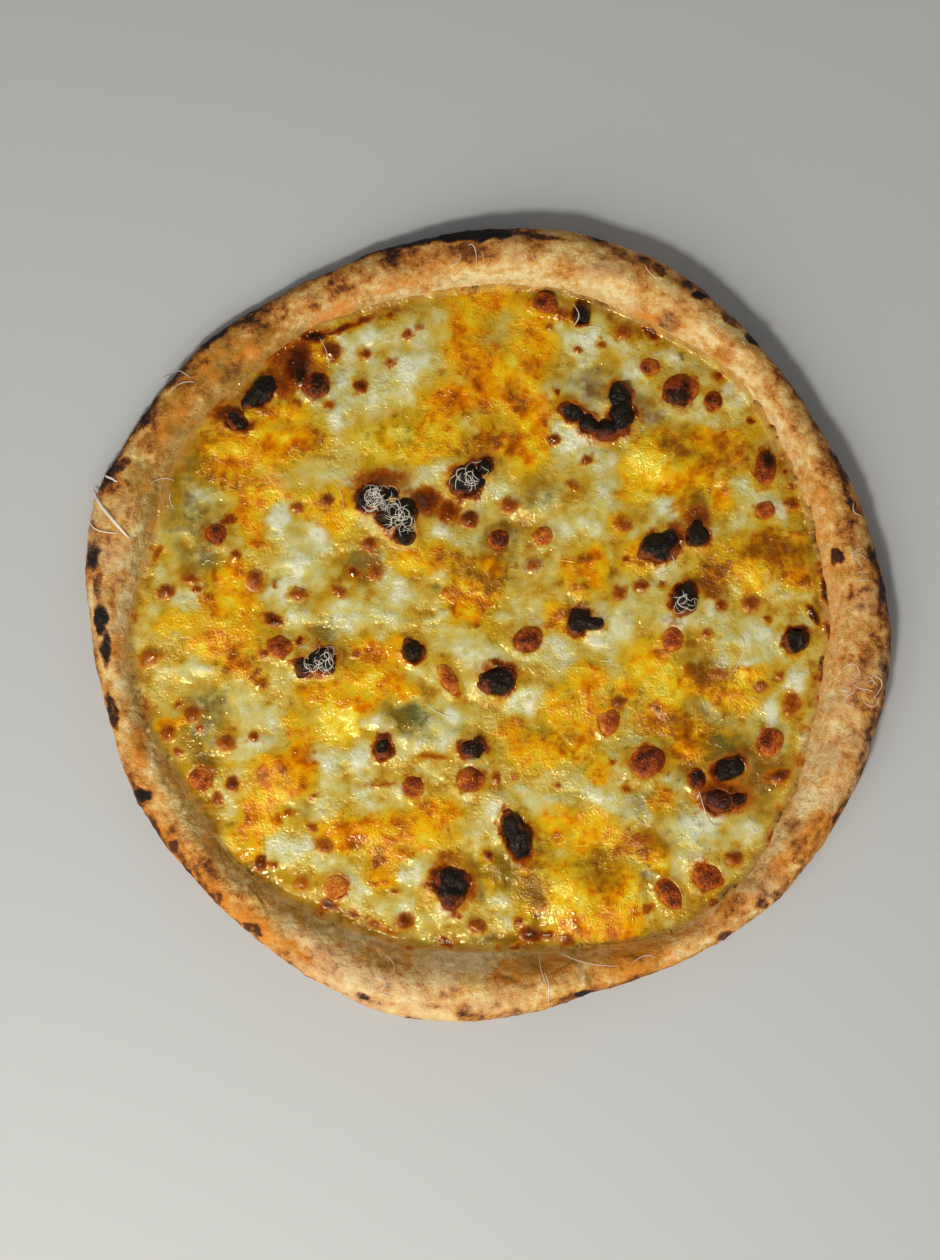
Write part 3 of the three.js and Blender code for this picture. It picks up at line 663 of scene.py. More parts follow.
# Milky lumps of white cheese: middle, half sizes, turn and strength.
# Painted highlight: the lumps at (63, 68), (-19, 3) and (-125, 11) are partly bright highlights
# put into the colour.
MILKY = [
    (-58, 115, 8, 6, 0, 1), (-35, 98, 8, 7, 0, 1), (-30, 105, 8, 6, 0, 1),
    (-27, 120, 6, 8, 0, 0.8), (-47, 118, 5, 3, 0, 1), (-60, 95, 7, 8, 0, 0.9),
    (-58, 65, 9, 6, 0, 0.8), (-85, 58, 5, 5, 0, 0.7), (25, 88, 3, 10, 0, 1), (30, 72, 6, 5, 0, 1),
    (33, 120, 6, 6, 0, 0.8), (45, 113, 8, 6, 0, 0.7), (36, 138, 8, 3, 0, 0.9),
    (60, 108, 6, 6, 0, 0.8), (73, 112, 5, 3, 0, 0.7), (90, 100, 5, 5, 0, 0.8),
    (101, 93, 4, 8, 20, 0.9), (120, 47, 4, 4, 0, 0.9), (101, 60, 6, 8, 0, 0.7),
    (63, 68, 5, 4, 0, 1), (73, 46, 5, 6, 0, 0.9), (65, 7, 8, 4, 0, 0.7), (80, 2, 8, 3, 0, 1),
    (57, 0, 5, 8, 0, 0.6), (105, -14, 8, 8, 0, 0.8), (118, -2, 7, 7, 0, 0.8),
    (128, -25, 5, 6, 0, 0.9), (133, -45, 5, 10, 0, 0.9), (93, -80, 10, 6, 0, 0.9),
    (100, -84, 8, 5, 0, 0.8), (76, -66, 5, 6, 0, 0.9), (63, -76, 6, 6, 0, 0.9),
    (110, -85, 6, 5, 0, 0.7), (85, -95, 8, 6, 0, 0.8), (62, -113, 4, 5, 0, 0.9),
    (18, -30, 6, 8, 0, 0.45), (8, 2, 4, 3, 0, 1), (-19, 3, 4, 2, 0, 1), (-34, 14, 5, 4, 0, 0.6),
    (-22, -45, 12, 5, 0, 0.6), (-52, -56, 6, 5, 0, 0.9), (-44, -40, 6, 3, 0, 0.9),
    (-12, -38, 6, 3, 0, 0.8), (0, -12, 15, 4, 0, 0.5), (30, -14, 10, 5, 0, 0.45),
    (48, -5, 6, 4, 0, 0.8), (-93, -37, 8, 5, 0, 0.8), (-125, 11, 5, 4.5, 0, 1),
    (-122, -18, 10, 3, 0, 0.9), (-60, 5, 5, 6, 0, 0.6), (-70, 35, 8, 6, 0, 0.9),
    (-75, 25, 6, 5, 0, 0.9), (-85, 42, 5, 4, 0, 0.9), (-115, 55, 6, 4, 0, 0.5),
    (-84, -90, 5, 10, 0, 0.6), (-75, -95, 10, 6, 0, 0.6), (-60, -98, 8, 4, 0, 0.9),
    (-92, -50, 5, 5, 0, 0.8), (-63, -60, 4, 5, 0, 0.9), (-30, -100, 8, 5, 0, 1),
    (-18, -114, 4, 6, 0, 0.9), (6, -115, 5, 7, 0, 0.45), (8, -75, 8, 5, 0, 0.9),
    (20, -72, 8, 5, 0, 0.9), (50, -73, 5, 4, 0, 0.8), (46, 93, 7, 6, 0, 0.5),
    (34, 78, 5, 7, 0, 1),
]
# Small browned tops fused to the blanket: middle, half sizes, turn, strength and rise.
SPOTS = [
    (102, -95.5, 3.7, 3.1, 0, 0.7, 1.9), (126, 49.5, 3.4, 2.9, 0, 0.66, 1.6),
    (55, -31.5, 3, 2.6, 0, 0.72, 1.6), (19.5, 24.5, 4, 3.4, 0, 0.5, 1.3),
    (-45, 21.5, 3.2, 2.7, 20, 0.62, 1.5), (-47.5, 33, 3, 2.6, 0, 0.72, 1.5),
    (10, 49, 3.8, 3.2, 0, 0.66, 1.9), (-6.5, 43.5, 3.8, 3.2, 0, 0.82, 2.2),
    (57, 120, 3.6, 3, 0, 0.6, 1.6), (-65, 51, 3, 2.6, 0, 0.72, 1.5),
    (-33, -121.5, 3.6, 3, 0, 0.75, 1.6), (109, 8.5, 3.8, 3.2, 20, 0.66, 1.6),
    (121, -63, 3.2, 2.7, 0, 0.6, 1.8), (-66, -90.5, 3.8, 3.2, 0, 0.55, 1.8),
    (-75, -106, 3.5, 3, 0, 0.52, 1.3), (-106, -48.5, 4, 3.4, 0, 0.62, 2),
    (-120, -36.5, 3.8, 3.2, 30, 0.62, 1.7), (-130, -44.5, 3.8, 3.2, 60, 0.62, 1.6),
    (-94.5, 18.5, 3.4, 4.4, 0, 0.66, 1.9), (-131, 13.5, 3.6, 3, 30, 0.72, 1.7),
    (-137.5, -13.5, 5.2, 3.4, 25, 0.58, 1.6), (-103.5, -65, 2.4, 3, 0, 0.85, 2.2),
    (19, -127, 4.6, 3, -10, 0.88, 2), (-3.5, -123.5, 4.4, 3.2, -20, 0.62, 1.8),
    (-49, 111, 2.5, 2.2, 0, 0.66, 0.9), (-39, 107, 2.3, 2, 0, 0.6, 0.8),
    (-51, 98, 2.6, 2.4, 0, 0.85, 1), (-39, 127, 1.8, 1.6, 0, 0.7, 0.6),
    (-27, 122, 1.8, 1.8, 0, 0.55, 0.6), (-32, 118.5, 2.3, 2, 0, 0.66, 0.7),
    (28, 76, 2.5, 2.1, 0, 0.85, 1), (42, 67.5, 2.4, 1.8, 0, 0.7, 0.8),
    (36, 57, 2.4, 3, 30, 0.58, 0.8), (38, 113, 1.6, 1.4, 0, 0.6, 0.5),
    (48, 115, 1.5, 1.4, 0, 0.6, 0.5), (26.5, 122, 2, 1.8, 0, 0.6, 0.6),
    (32, 127.5, 4.4, 2.5, 0, 0.62, 1), (68, 120, 4, 1.8, -40, 0.85, 1),
    (96, 102, 2.2, 1.8, 0, 0.72, 0.8), (109, 84, 1.8, 1.6, 0, 0.85, 0.7),
    (123.5, 63, 1.4, 1.3, 0, 0.66, 0.5), (126, 57, 2, 1.8, 0, 0.6, 0.6),
    (73, 16.5, 1.7, 1.5, 0, 0.6, 0.5), (64, 16, 3, 2.6, 0, 0.7, 0.9),
    (55, 13, 3, 2.8, 0, 0.6, 0.9), (97, 8, 2.6, 2.3, 0, 0.72, 0.8),
    (116, 2.5, 1.6, 1.5, 0, 0.6, 0.5), (91, -3.5, 2.2, 1.9, 0, 0.6, 0.6),
    (95, -20, 4, 2, 0, 0.55, 0.6), (121, -20.5, 2.3, 2, 0, 0.6, 0.7),
    (136.5, -21.5, 2, 1.8, 0, 0.6, 0.5), (113, -25, 3, 2.5, 0, 0.6, 0.8),
    (126, -33, 4, 4.5, 0, 0.62, 1.2), (137, 25, 1.4, 1.3, 0, 0.7, 0.4),
    (140, 14, 1.6, 5, 10, 1.15, 0.5), (135, 4, 1.4, 4.5, 30, 1.1, 0.5),
    (142, 29, 1.5, 3, 0, 1.2, 0.3), (139, -20, 1.2, 5, -5, 0.8, 0.3),
    (141, -2, 1, 4, 10, 0.9, 0.2), (56.5, 41, 3.6, 3, 0, 0.55, 1),
    (-105, 43, 3.6, 2.2, 30, 0.72, 0.6), (-102, 28.5, 2.3, 2, 0, 0.62, 0.7),
    (-121, 19, 4, 2.5, -10, 0.58, 1), (-118, 14.5, 2.2, 1.9, 0, 0.62, 0.7),
    (-134.5, 29, 1.5, 4, -25, 0.62, 0.4), (-87, 2, 4, 2.6, -25, 0.86, 1.2),
    (-86, 16, 1.5, 1.4, 0, 0.6, 0.5), (-76.5, 12.5, 4, 2.6, 0, 0.6, 1),
    (-60, 14, 3.5, 2, -35, 0.6, 0.9), (-54, 22, 2.5, 2.2, 0, 0.8, 0.9),
    (-76, -6.5, 1.6, 1.5, 0, 0.85, 0.5), (-91, -12, 2.5, 2.2, 0, 0.6, 0.7),
    (-92, -24, 3, 2.4, 0, 0.58, 0.8), (-53, -12, 2, 1.8, 0, 0.6, 0.5),
    (-95, -45.5, 2.3, 2, 0, 0.66, 0.7), (-77, 48, 3, 2.5, 0, 0.62, 0.8),
    (-126, -33, 2.4, 1.8, 30, 0.6, 0.6), (-117, -42, 1.6, 1.5, 0, 0.66, 0.5),
    (-126, -52, 2.2, 1.8, 0, 0.6, 0.6), (-84, 98, 6, 4.5, -10, 0.72, 1.2),
    (-107, 87, 4.5, 2.8, 20, 0.84, 1), (-78, 91, 3, 2, 0, 0.55, 0.5),
    (-83, 111, 7, 4, 15, 0.66, 0.5), (-43, 60, 11, 4, 5, 0.62, 0.3), (-24, 51, 6, 5, 0, 0.85, 1),
    (87, 44, 5, 5, 0, 0.74, 0.5), (97, -70, 11, 6, -10, 0.8, 0.6),
    (120, -62, 5, 2.5, 10, 0.8, 0.6), (-59, 121.5, 6.5, 1.3, 22, 0.85, 0.5),
    (-50, 125, 4, 1.3, 25, 0.78, 0.4), (-110, -71.5, 2, 3, 0, 0.66, 0.8),
    (-81, -77, 1.8, 1.6, 0, 0.6, 0.5), (-70.5, -70.5, 2.5, 1.2, 20, 0.6, 0.5),
    (-71, -83, 2.2, 2, 0, 0.6, 0.6), (-92, -98, 2.5, 3, 0, 0.86, 0.9),
    (-87, -98.5, 2, 1.8, 0, 0.66, 0.6), (-64, -114.5, 3.5, 2.2, -20, 0.85, 0.9),
    (-54, -119, 2.6, 1.6, -25, 0.66, 0.6), (-45, -98, 2, 1.8, 0, 0.62, 0.5),
    (-37, -109.5, 1.8, 1.6, 0, 0.6, 0.5), (1.5, -94.5, 1.9, 2.1, 0, 0.85, 0.8),
    (-45, -123, 3, 1.6, -15, 0.66, 0.6), (-39, -125.5, 2.4, 1.4, -10, 0.66, 0.5),
    (-16, -130.5, 3.2, 1.8, -30, 0.85, 0.8), (14, -122, 2, 1.8, 0, 0.66, 0.6),
    (25, -127, 3, 1.6, 0, 0.8, 0.7), (13, -132, 3, 1.2, 10, 0.66, 0.4),
    (34, -129, 3, 2.2, -30, 0.72, 0.9), (24, -115.5, 1.5, 1.4, 0, 0.62, 0.5),
    (4.5, -63, 2, 3.5, 0, 0.6, 0.8), (12, -62, 2.2, 1.6, 0, 0.48, 0.5),
    (30, -66, 1.5, 1.4, 0, 0.6, 0.4), (52, -56, 1.6, 1.5, 0, 0.6, 0.5),
    (-42, -65.5, 6, 1.2, 0, 0.55, 0.4), (-21.5, -54, 6.5, 1.3, -3, 0.55, 0.4),
    (58, -67, 2, 1.8, 0, 0.6, 0.6), (64, -88, 5, 2.5, 10, 0.55, 0.9),
    (67, -116.5, 2.8, 2, 20, 0.6, 0.6), (94, -114, 2.5, 2, 20, 0.66, 0.7),
    (117, -87, 1.4, 3.4, 0, 0.66, 0.5), (-63, 112.5, 4, 3.4, 0, 0.84, 1.4),
    (-77, 107, 5.5, 9, -12, 0.95, 1), (-75.5, 103, 3.4, 5, -10, 1.1, 0.6),
    (-77, 91, 2, 1.6, 0, 0.6, 0.5), (-90, 87, 1.6, 1.4, 0, 0.66, 0.4),
    (-64, 90, 2, 1.8, 0, 0.6, 0.6), (-119, 94, 2, 1.6, 0, 0.72, 0.5),
    (-97, 119, 4, 1.2, 30, 0.72, 0.4), (-70, 118.5, 5.5, 2.2, 12, 1.1, 0.8),
    (-15, 139.5, 7, 1, 3, 0.6, 0.3), (50, 77, 5, 2.6, 10, 0.66, 0.6),
    (29.5, 95.5, 2, 1.2, -60, 0.72, 0.4), (-15, 46.5, 5, 4.4, 0, 0.72, 1.2),
    (58, 27, 1.6, 1.4, 0, 0.66, 0.5), (-88, 102, 6, 3, 40, 0.6, 0.5),
    (-108, 88, 4, 2, -10, 0.72, 0.6), (-110, 92, 4, 3, 0, 0.5, 0.4),
]
# Smears of blue-veined cheese: middle, half sizes, turn and strength.
GREEN = [
    (-28, -38, 6, 6, 0, 0.75), (-18, 15, 2.4, 3.2, 0, 0.8), (-23, 53, 5, 4, -30, 0.75),
    (98, -47, 6, 3.6, 10, 0.8), (80, 110, 1.8, 1.6, 0, 1), (46, -97, 1.4, 1.4, 0, 0.7),
    (104, -44, 3, 2, 0, 0.7), (50, -100, 1.2, 1.2, 0, 0.6), (8, -40, 2, 1.4, 0, 0.5),
    (-2, -112, 1.4, 2, 0, 0.8), (-9, -114, 1.2, 1.4, 0, 0.7), (66, -98, 1.2, 1.2, 0, 0.8),
    (38, 15, 1.4, 1.2, 0, 0.4), (62, 78, 5, 4, 0, 0.4), (-60, 78, 1.2, 1.2, 0, 0.6),
]
# Partly oil stain and browning, partly painted shade in hollows and on the sides of swells and
# bubbles away from the light.
# Darker olive and brown patches: middle, half sizes, turn, strength and share of brown (0 olive).
SHADES = [
    (-124, 69, 14, 16, 0, 0.7, 0.4), (-120, 46, 14, 12, 0, 0.7, 0.1),
    (-118, 30, 14, 9, 0, 0.5, 0.3), (-38, 78, 20, 9, 0, 0.45, 0), (-48, 25, 9, 8, 0, 0.7, 0.9),
    (-73, 10, 9, 4, 0, 0.4, 1), (5, 32, 7, 7, 0, 0.8, 0.9), (0, 22, 12, 8, 0, 0.5, 0.9),
    (95, 70, 17, 10, 0, 0.5, 1), (118, 31, 16, 9, 0, 0.7, 1), (95, 16, 8, 9, 0, 0.8, 1),
    (85, -42, 24, 15, 0, 0.5, 1), (112, -58, 12, 11, 0, 1, 0.3), (100, -66, 15, 10, 0, 1, 0.9),
    (22, -112, 5, 17, 0, 0.7, 0.2), (67, 84, 8, 6, 0, 0.7, 0.9), (-116, -45, 6, 18, 10, 0.6, 0.3),
    (62, 50, 16, 10, 0, 0.25, 1), (-88, 113, 14, 8, 30, 0.75, 0.8),
    (-70, 100, 9, 10, 0, 0.5, 0.8), (-44, 60, 11, 5, 0, 0.8, 0.9), (-24, 50, 8, 5, -10, 1, 0.9),
    (-5, 74, 9, 5, 0, 0.6, 0.7), (-52, 26, 8, 5, 0, 0.6, 0.2), (-13, 25, 9, 5, 0, 0.5, 0.9),
    (-115, 25, 8, 6, 0, 0.45, 0.2), (-90, 12, 6, 10, 0, 0.4, 0.4), (-62, 90, 8, 3, 0, 0.4, 0.6),
    (42, 96, 13, 7, 0, 0.8, 0.8), (48, 74, 8, 4, 0, 0.5, 0.9), (65, 90, 6, 5, 0, 0.8, 0.9),
    (77, 75, 10, 8, 0, 0.75, 0.7), (48, 104, 7, 3, 0, 0.5, 0.7), (22, 54, 10, 8, 0, 0.6, 0.7),
    (5, 36, 8, 8, 0, 0.5, 0.4), (87, 48, 6, 7, 0, 0.95, 0.4), (92, 22, 7, 8, 0, 0.6, 1),
    (120, 32, 10, 5, 0, 0.5, 1), (62, 3, 9, 4, 0, 0.35, 0), (36, 5, 7, 6, 0, 0.6, 0.8),
    (86, 56, 6, 4, 0, 0.4, 0.8), (-112, -34, 9, 8, 0, 0.75, 0.1),
    (-117, -52, 5, 12, 40, 0.8, 0.4), (-67, -2, 8, 6, 0, 0.7, 0.1), (-60, -12, 5, 9, 0, 0.5, 0.4),
    (-33, -38, 9, 8, 0, 1, 0.1), (-75, -75, 8, 5, 0, 0.5, 0.4), (-96, -104, 13, 6, -42, 0.8, 0.6),
    (-40, -100, 7, 6, 0, 0.4, 0.6), (-12, -97, 9, 5, 0, 0.6, 0.7), (-4, -105, 5, 9, 0, 0.8, 0.6),
    (8, -101, 8, 9, 0, 1, 0), (20, -110, 5, 14, 0, 0.95, 0.3), (50, -100, 9, 12, 0, 0.7, 0.8),
    (68, -104, 6, 5, 0, 0.7, 0.1), (63, -77, 7, 6, 0, 0.55, 0), (91, -18, 11, 7, -25, 0.95, 0.35),
    (98, -51, 9, 6, 0, 0.9, 0.1), (106, -65, 9, 7, 0, 1, 0.7), (117, -62, 8, 5, 0, 0.8, 0.4),
    (113, -73, 6, 8, 0, 0.6, 0.1), (85, -60, 7, 5, 0, 0.6, 0.8), (70, -90, 10, 5, 0, 0.6, 0.8),
    (136, -45, 4, 12, 0, 0.5, 0.2), (30, -47, 9, 4, -30, 0.5, 1), (15, -42, 10, 4, -15, 0.4, 1),
    (25, -88, 6, 6, 0, 0.4, 0), (-105, 62, 12, 5, 0, 0.3, 1), (135, 35, 4, 14, 10, 0.5, 0.5),
    (2, -65, 12, 7, 0, 0.35, 0.8), (85, -38, 14, 8, 0, 0.35, 1), (35, -70, 8, 4, 0, 0.4, 0.4),
    (40, -60, 10, 5, 0, 0.3, 0.15), (45, -50, 25, 15, 0, 0.2, 0.5),
    (85, -85, 25, 20, 0, 0.2, 0.5), (5, 32, 22, 16, 0, 0.2, 0.6), (5, 18, 8, 4, 0, 0.4, 0.7),
    (-102, 92, 10, 6, 30, 0.7, 0.8), (-80, 108, 10, 9, 20, 0.85, 1),
    (-100, 103, 9, 5, 40, 0.7, 0.3), (-84, 97, 8, 5, 0, 0.7, 1), (-88, 90, 8, 4, 0, 0.4, 1),
    (-20, -45, 16, 9, 0, 0.25, 0.5), (70, -74, 15, 12, 0, 0.3, 0.7),
    (40, -105, 20, 16, 0, 0.25, 0.8), (-45, 107, 16, 12, 0, 0.2, 1),
    (-30, -130, 25, 4, -8, 0.6, 0.4), (10, -130, 18, 3, 3, 0.8, 0.4),
    (-70, -119, 12, 4, -28, 0.6, 0.4),
]
# Slow swells of the blanket over pockets of steam: middle, half sizes, turn and rise.
SWELLS = [
    (42, 90, 20, 17, 0, 2.0), (-38, 50, 15, 15, 0, 1.8), (-8, 61, 13, 12, 0, 1.6),
    (-14, -106, 14, 13, 0, 1.8), (98, -63, 16, 15, 0, 1.8), (75, 34, 15, 10, 30, 1.0),
    (-68, -12, 11, 10, 0, 1.4), (20, 50, 13, 10, 0, 1.6), (66, -56, 11, 10, 0, 0.8),
    (-33, -42, 10, 9, 0, 1.0), (72, 70, 14, 13, 0, 1.8), (36, -108, 19, 20, 0, 1.8),
    (-60, -107, 9, 8, 0, 1.0), (-30, 100, 20, 15, 20, 1.4), (-80, 32, 18, 15, 0, 1.0),
    (-110, 0, 17, 12, 0, 1.4), (-85, -58, 14, 18, 0, 1.2), (80, -30, 17, 13, 0, 1.4),
    (105, -8, 16, 12, 0, 1.0), (112, 25, 17, 12, 0, 1.2), (5, -23, 12, 10, 0, 0.8),
    (50, -22, 14, 14, 0, 1.0), (-40, -85, 20, 9, 0, 1.0), (-95, 75, 22, 14, 0, 1.4),
    (0, 105, 20, 18, 0, 1.2), (92, -95, 16, 12, -30, 1.0), (-12, 20, 14, 14, 0, 0.8),
    (-115, -35, 10, 9, 0, 1.0), (80, 97, 11, 10, 0, 1.0), (40, 20, 11, 13, 0, 0.8),
]
# Charred bubbles of one or more domes: middle, half sizes, turn in degrees and rise of each.
CHARRED = [
    [(-46, 52, 7, 6, 0, 4.6), (-39.5, 52, 5, 5, 0, 3.2), (-39.5, 45.5, 5.5, 6, 0, 3.2),
     (-33, 46.5, 5.5, 6.5, 0, 4.8), (-33, 37, 4.5, 4, 0, 3.8)],
    [(-7.5, 59.5, 6.8, 7.2, 0, 5), (0, 65, 3.2, 3.6, 0, 4)],
    [(36, 87, 5.2, 3.6, -25, 4.2), (42.5, 82.5, 5, 4, -35, 4.4), (49.5, 80, 5.6, 4.6, 0, 4.6),
     (56, 86, 5.6, 6.6, 0, 5), (55, 94.5, 5, 5.4, 0, 4.4)],
    [(71.5, 32.5, 9.2, 5.8, 35, 5)],
    [(86.8, 36.8, 5.2, 4.8, 0, 4)],
    [(82, 11, 5.2, 5.8, 0, 5)],
    [(38.5, 1.5, 5, 5.4, 0, 4.6), (44.5, 0.5, 4, 2.8, 0, 3.4)],
    [(13, -86, 10.2, 5.3, -72, 5)],
    [(5, -23, 8, 6.2, 12, 4.6)],
    [(-29.5, -10.5, 4.3, 5, 0, 4.4)],
    [(-66.5, -14.5, 6.2, 5.2, -15, 5), (-74.5, -17, 4, 4, 0, 2.8)],
    [(-13.5, -107, 8.4, 8.8, 0, 4.4)],
    [(100, -59, 7, 4.8, 12, 5)],
    [(96, -72, 7.2, 5, -20, 4.2), (103.5, -71.5, 3.6, 3.4, 0, 3)],
    [(127, -6.5, 5, 5.2, 0, 4.4)],
    [(39.5, 127.5, 3.6, 4.3, 0, 3.8)],
    [(-92, 95.5, 8.6, 4.6, 48, 4)],
    [(-101.5, 83.5, 5.8, 3.6, -20, 3.4)],
    [(-42, -50.5, 3.7, 4.9, 0, 3.8)],
    [(-5, -51, 5.6, 4.3, 0, 3.6)],
]
# Browned bubbles, given in the same way.
BROWNED = [
    [(17.5, -6, 6.3, 5.4, 10, 3.4)], [(80, 96, 7.4, 7, 0, 3.6)], [(67.5, 106, 4.3, 3.6, 0, 2.6)],
    [(93.5, 92, 3.9, 4, 0, 2.4)], [(115, 64.5, 4.4, 7, 0, 3)], [(115, 47, 4.4, 3.7, 0, 2.8)],
    [(66.5, -56, 7.4, 6.6, 0, 3.8)], [(87, -63, 3.8, 4.6, 20, 3)], [(91, -103, 6.7, 5.8, -30, 3)],
    [(75.5, -110, 7.2, 4.3, -52, 3)], [(51, -39.5, 4.4, 5.4, -25, 3)],
    [(117, -48, 5.6, 5.6, 0, 2.8)], [(77, -5.5, 4.5, 5, 0, 2.6)], [(24, 36.5, 4, 3.8, 0, 2.4)],
    [(5.5, 35, 4.2, 4.2, 0, 2.6)], [(-6, -63.5, 5.8, 5.1, 0, 3.4)],
    [(-29.5, -66.5, 4.6, 4.6, 0, 3)], [(-15, -22, 7.4, 3, -62, 2.6)],
    [(-116.5, -63, 5.1, 5, 0, 3)], [(-84.5, -9, 5, 4.6, 0, 2.8)], [(-61, -107, 5.3, 5, 0, 2.8)],
    [(-69, 98, 5.6, 5.4, 0, 3.2)], [(-110, 37, 4.1, 4.3, 0, 2.6)], [(25, 132, 5.4, 4, -20, 3)],
]
# Places of charred bubbles that are red-brown still: middle, half sizes, turn and amount.
REDDER = [
    (96, -72, 9, 6, 0, 0.5), (-5, -51, 6, 5, 0, 0.35), (-42, -50, 5, 5, 0, 0.3),
    (-101, 84, 7, 5, 0, 0.35), (-14, -113, 8, 4, 0, 0.5), (-8, -101, 4, 4, 0, 0.45),
    (-21, -105, 3, 5, 0, 0.5), (0, -25, 4, 4, 0, 0.45), (32, 88, 3, 4, 0, 0.3),
    (46, 77, 11, 4, 0, 0.55), (-42, 46, 5, 4, 0, 0.45), (-12, 59, 4, 5, 0, 0.35),
    (34, 0, 3, 4, 0, 0.4), (123, -8, 3, 4, 0, 0.4), (-75, -17, 4, 4, 0, 0.4),
    (105, -72, 4, 4, 0, 0.4), (84, 38, 3, 3, 0, 0.3), (66, 28, 3, 3, 0, 0.3),
    (37, 128, 2, 3, 0, 0.3),
]
# Darker sides of browned bubbles: middle, half sizes, turn and amount.
# Partly soot, partly painted shade on the sides that face away from the light.
SOOT_AND_SHADE = [
    (-67, 98, 4.5, 5, 0, 0.4), (78, 93, 6, 5, -20, 0.4), (69.5, -55, 4.5, 4.5, 0, 0.3),
    (115.5, 68, 3, 3.5, 0, 0.3), (87, -64, 3, 3, 0, 0.3), (26, 132, 3, 2.5, 0, 0.3),
    (78, -112, 3, 3, 0, 0.2), (5, 34, 4, 4, 0, 0.35), (-85, -8, 4, 3, 0, 0.15),
    (53, -42, 3, 3, 0, 0.2), (18, -8, 4, 3, 0, 0.15),
]
# Browned bubbles that stayed paler: middle, half sizes, turn and amount.
PALER = [
    (-61, -107, 8, 8, 0, 0.3), (-15, -22, 8, 8, 0, 0.3), (24, 36.5, 7, 7, 0, 0.2),
    (77, -5.5, 7, 7, 0, 0.16), (-84.5, -9, 8, 8, 0, 0.2), (-116.5, -63, 8, 8, 0, 0.22),
    (51, -39.5, 7, 8, 0, 0.15), (117, -48, 8, 8, 0, 0.1), (-29.5, -66.5, 7, 7, 0, 0.1),
    (115, 47, 7, 6, 0, 0.1), (-6, -63.5, 8, 7, 0, 0.06), (67.5, 106, 6, 6, 0, 0.06),
]
SCORCHED_FOOT = (69, -53, 3.2, 3, 0)  # burnt cheese at the foot of a large browned bubble
BIG_DOMES = [dome for domes in CHARRED + BROWNED for dome in domes]


def cheese_top(x, y):
    """Height of the white cheese's top: slow swells, thinner towards the rim."""
    inward = around(CHEESE_RADIUS, np.arctan2(y, x)) - np.hypot(x, y)
    thinning = EDGE_THINNING * np.exp(-np.maximum(0, inward) / EDGE_REACH)
    swell = (
        0.5 * np.sin(x / 11 + 1.3) * np.cos(y / 13)
        + 0.4 * np.sin(x / 7.3 - y / 9.1)
        + 0.35 * np.cos(x / 17 + y / 6.4 + 2)
    )
    return CHEESE_FLOOR + CHEESE_THICKNESS - thinning + swell


bpy.ops.object.select_all(action="DESELECT")
bpy.ops.mesh.primitive_grid_add(x_subdivisions=CHEESE_CELLS, y_subdivisions=CHEESE_CELLS, size=2)
cheese = start_piece("melted_cheese")
square = get_points(cheese) * MM
across, up = square[:, 0], square[:, 1]
sideways = np.abs(across) > np.abs(up)
longer = np.where(sideways, across, up)
shorter = np.where(sideways, up, across)
lean = np.where(np.abs(longer) > 1e-9, shorter / np.where(longer == 0, 1, longer), 0) * math.pi / 4
to_edge = np.abs(longer)
angle = np.arctan2(
    np.where(sideways, np.sin(lean), np.cos(lean)) * np.sign(longer),
    np.where(sideways, np.cos(lean), np.sin(lean)) * np.sign(longer),
)
ring = np.column_stack([40 * np.cos(angle), 40 * np.sin(angle), 0 * angle])
creep = CREEP + 1.6 * noise(ring, 6, 31) + 0.8 * noise(ring, 1.6, 32)
radius = to_edge * around(CHEESE_RADIUS, angle) + creep * to_edge ** 12
x, y = radius * np.cos(angle), radius * np.sin(angle)


def pillows(plane, size, seed):
    """Round lumps with soft creases between them, of heights about 0."""
    value = noise(plane, size, seed)
    return 2.2 * (np.sqrt(value * value + 0.02) - 0.3)


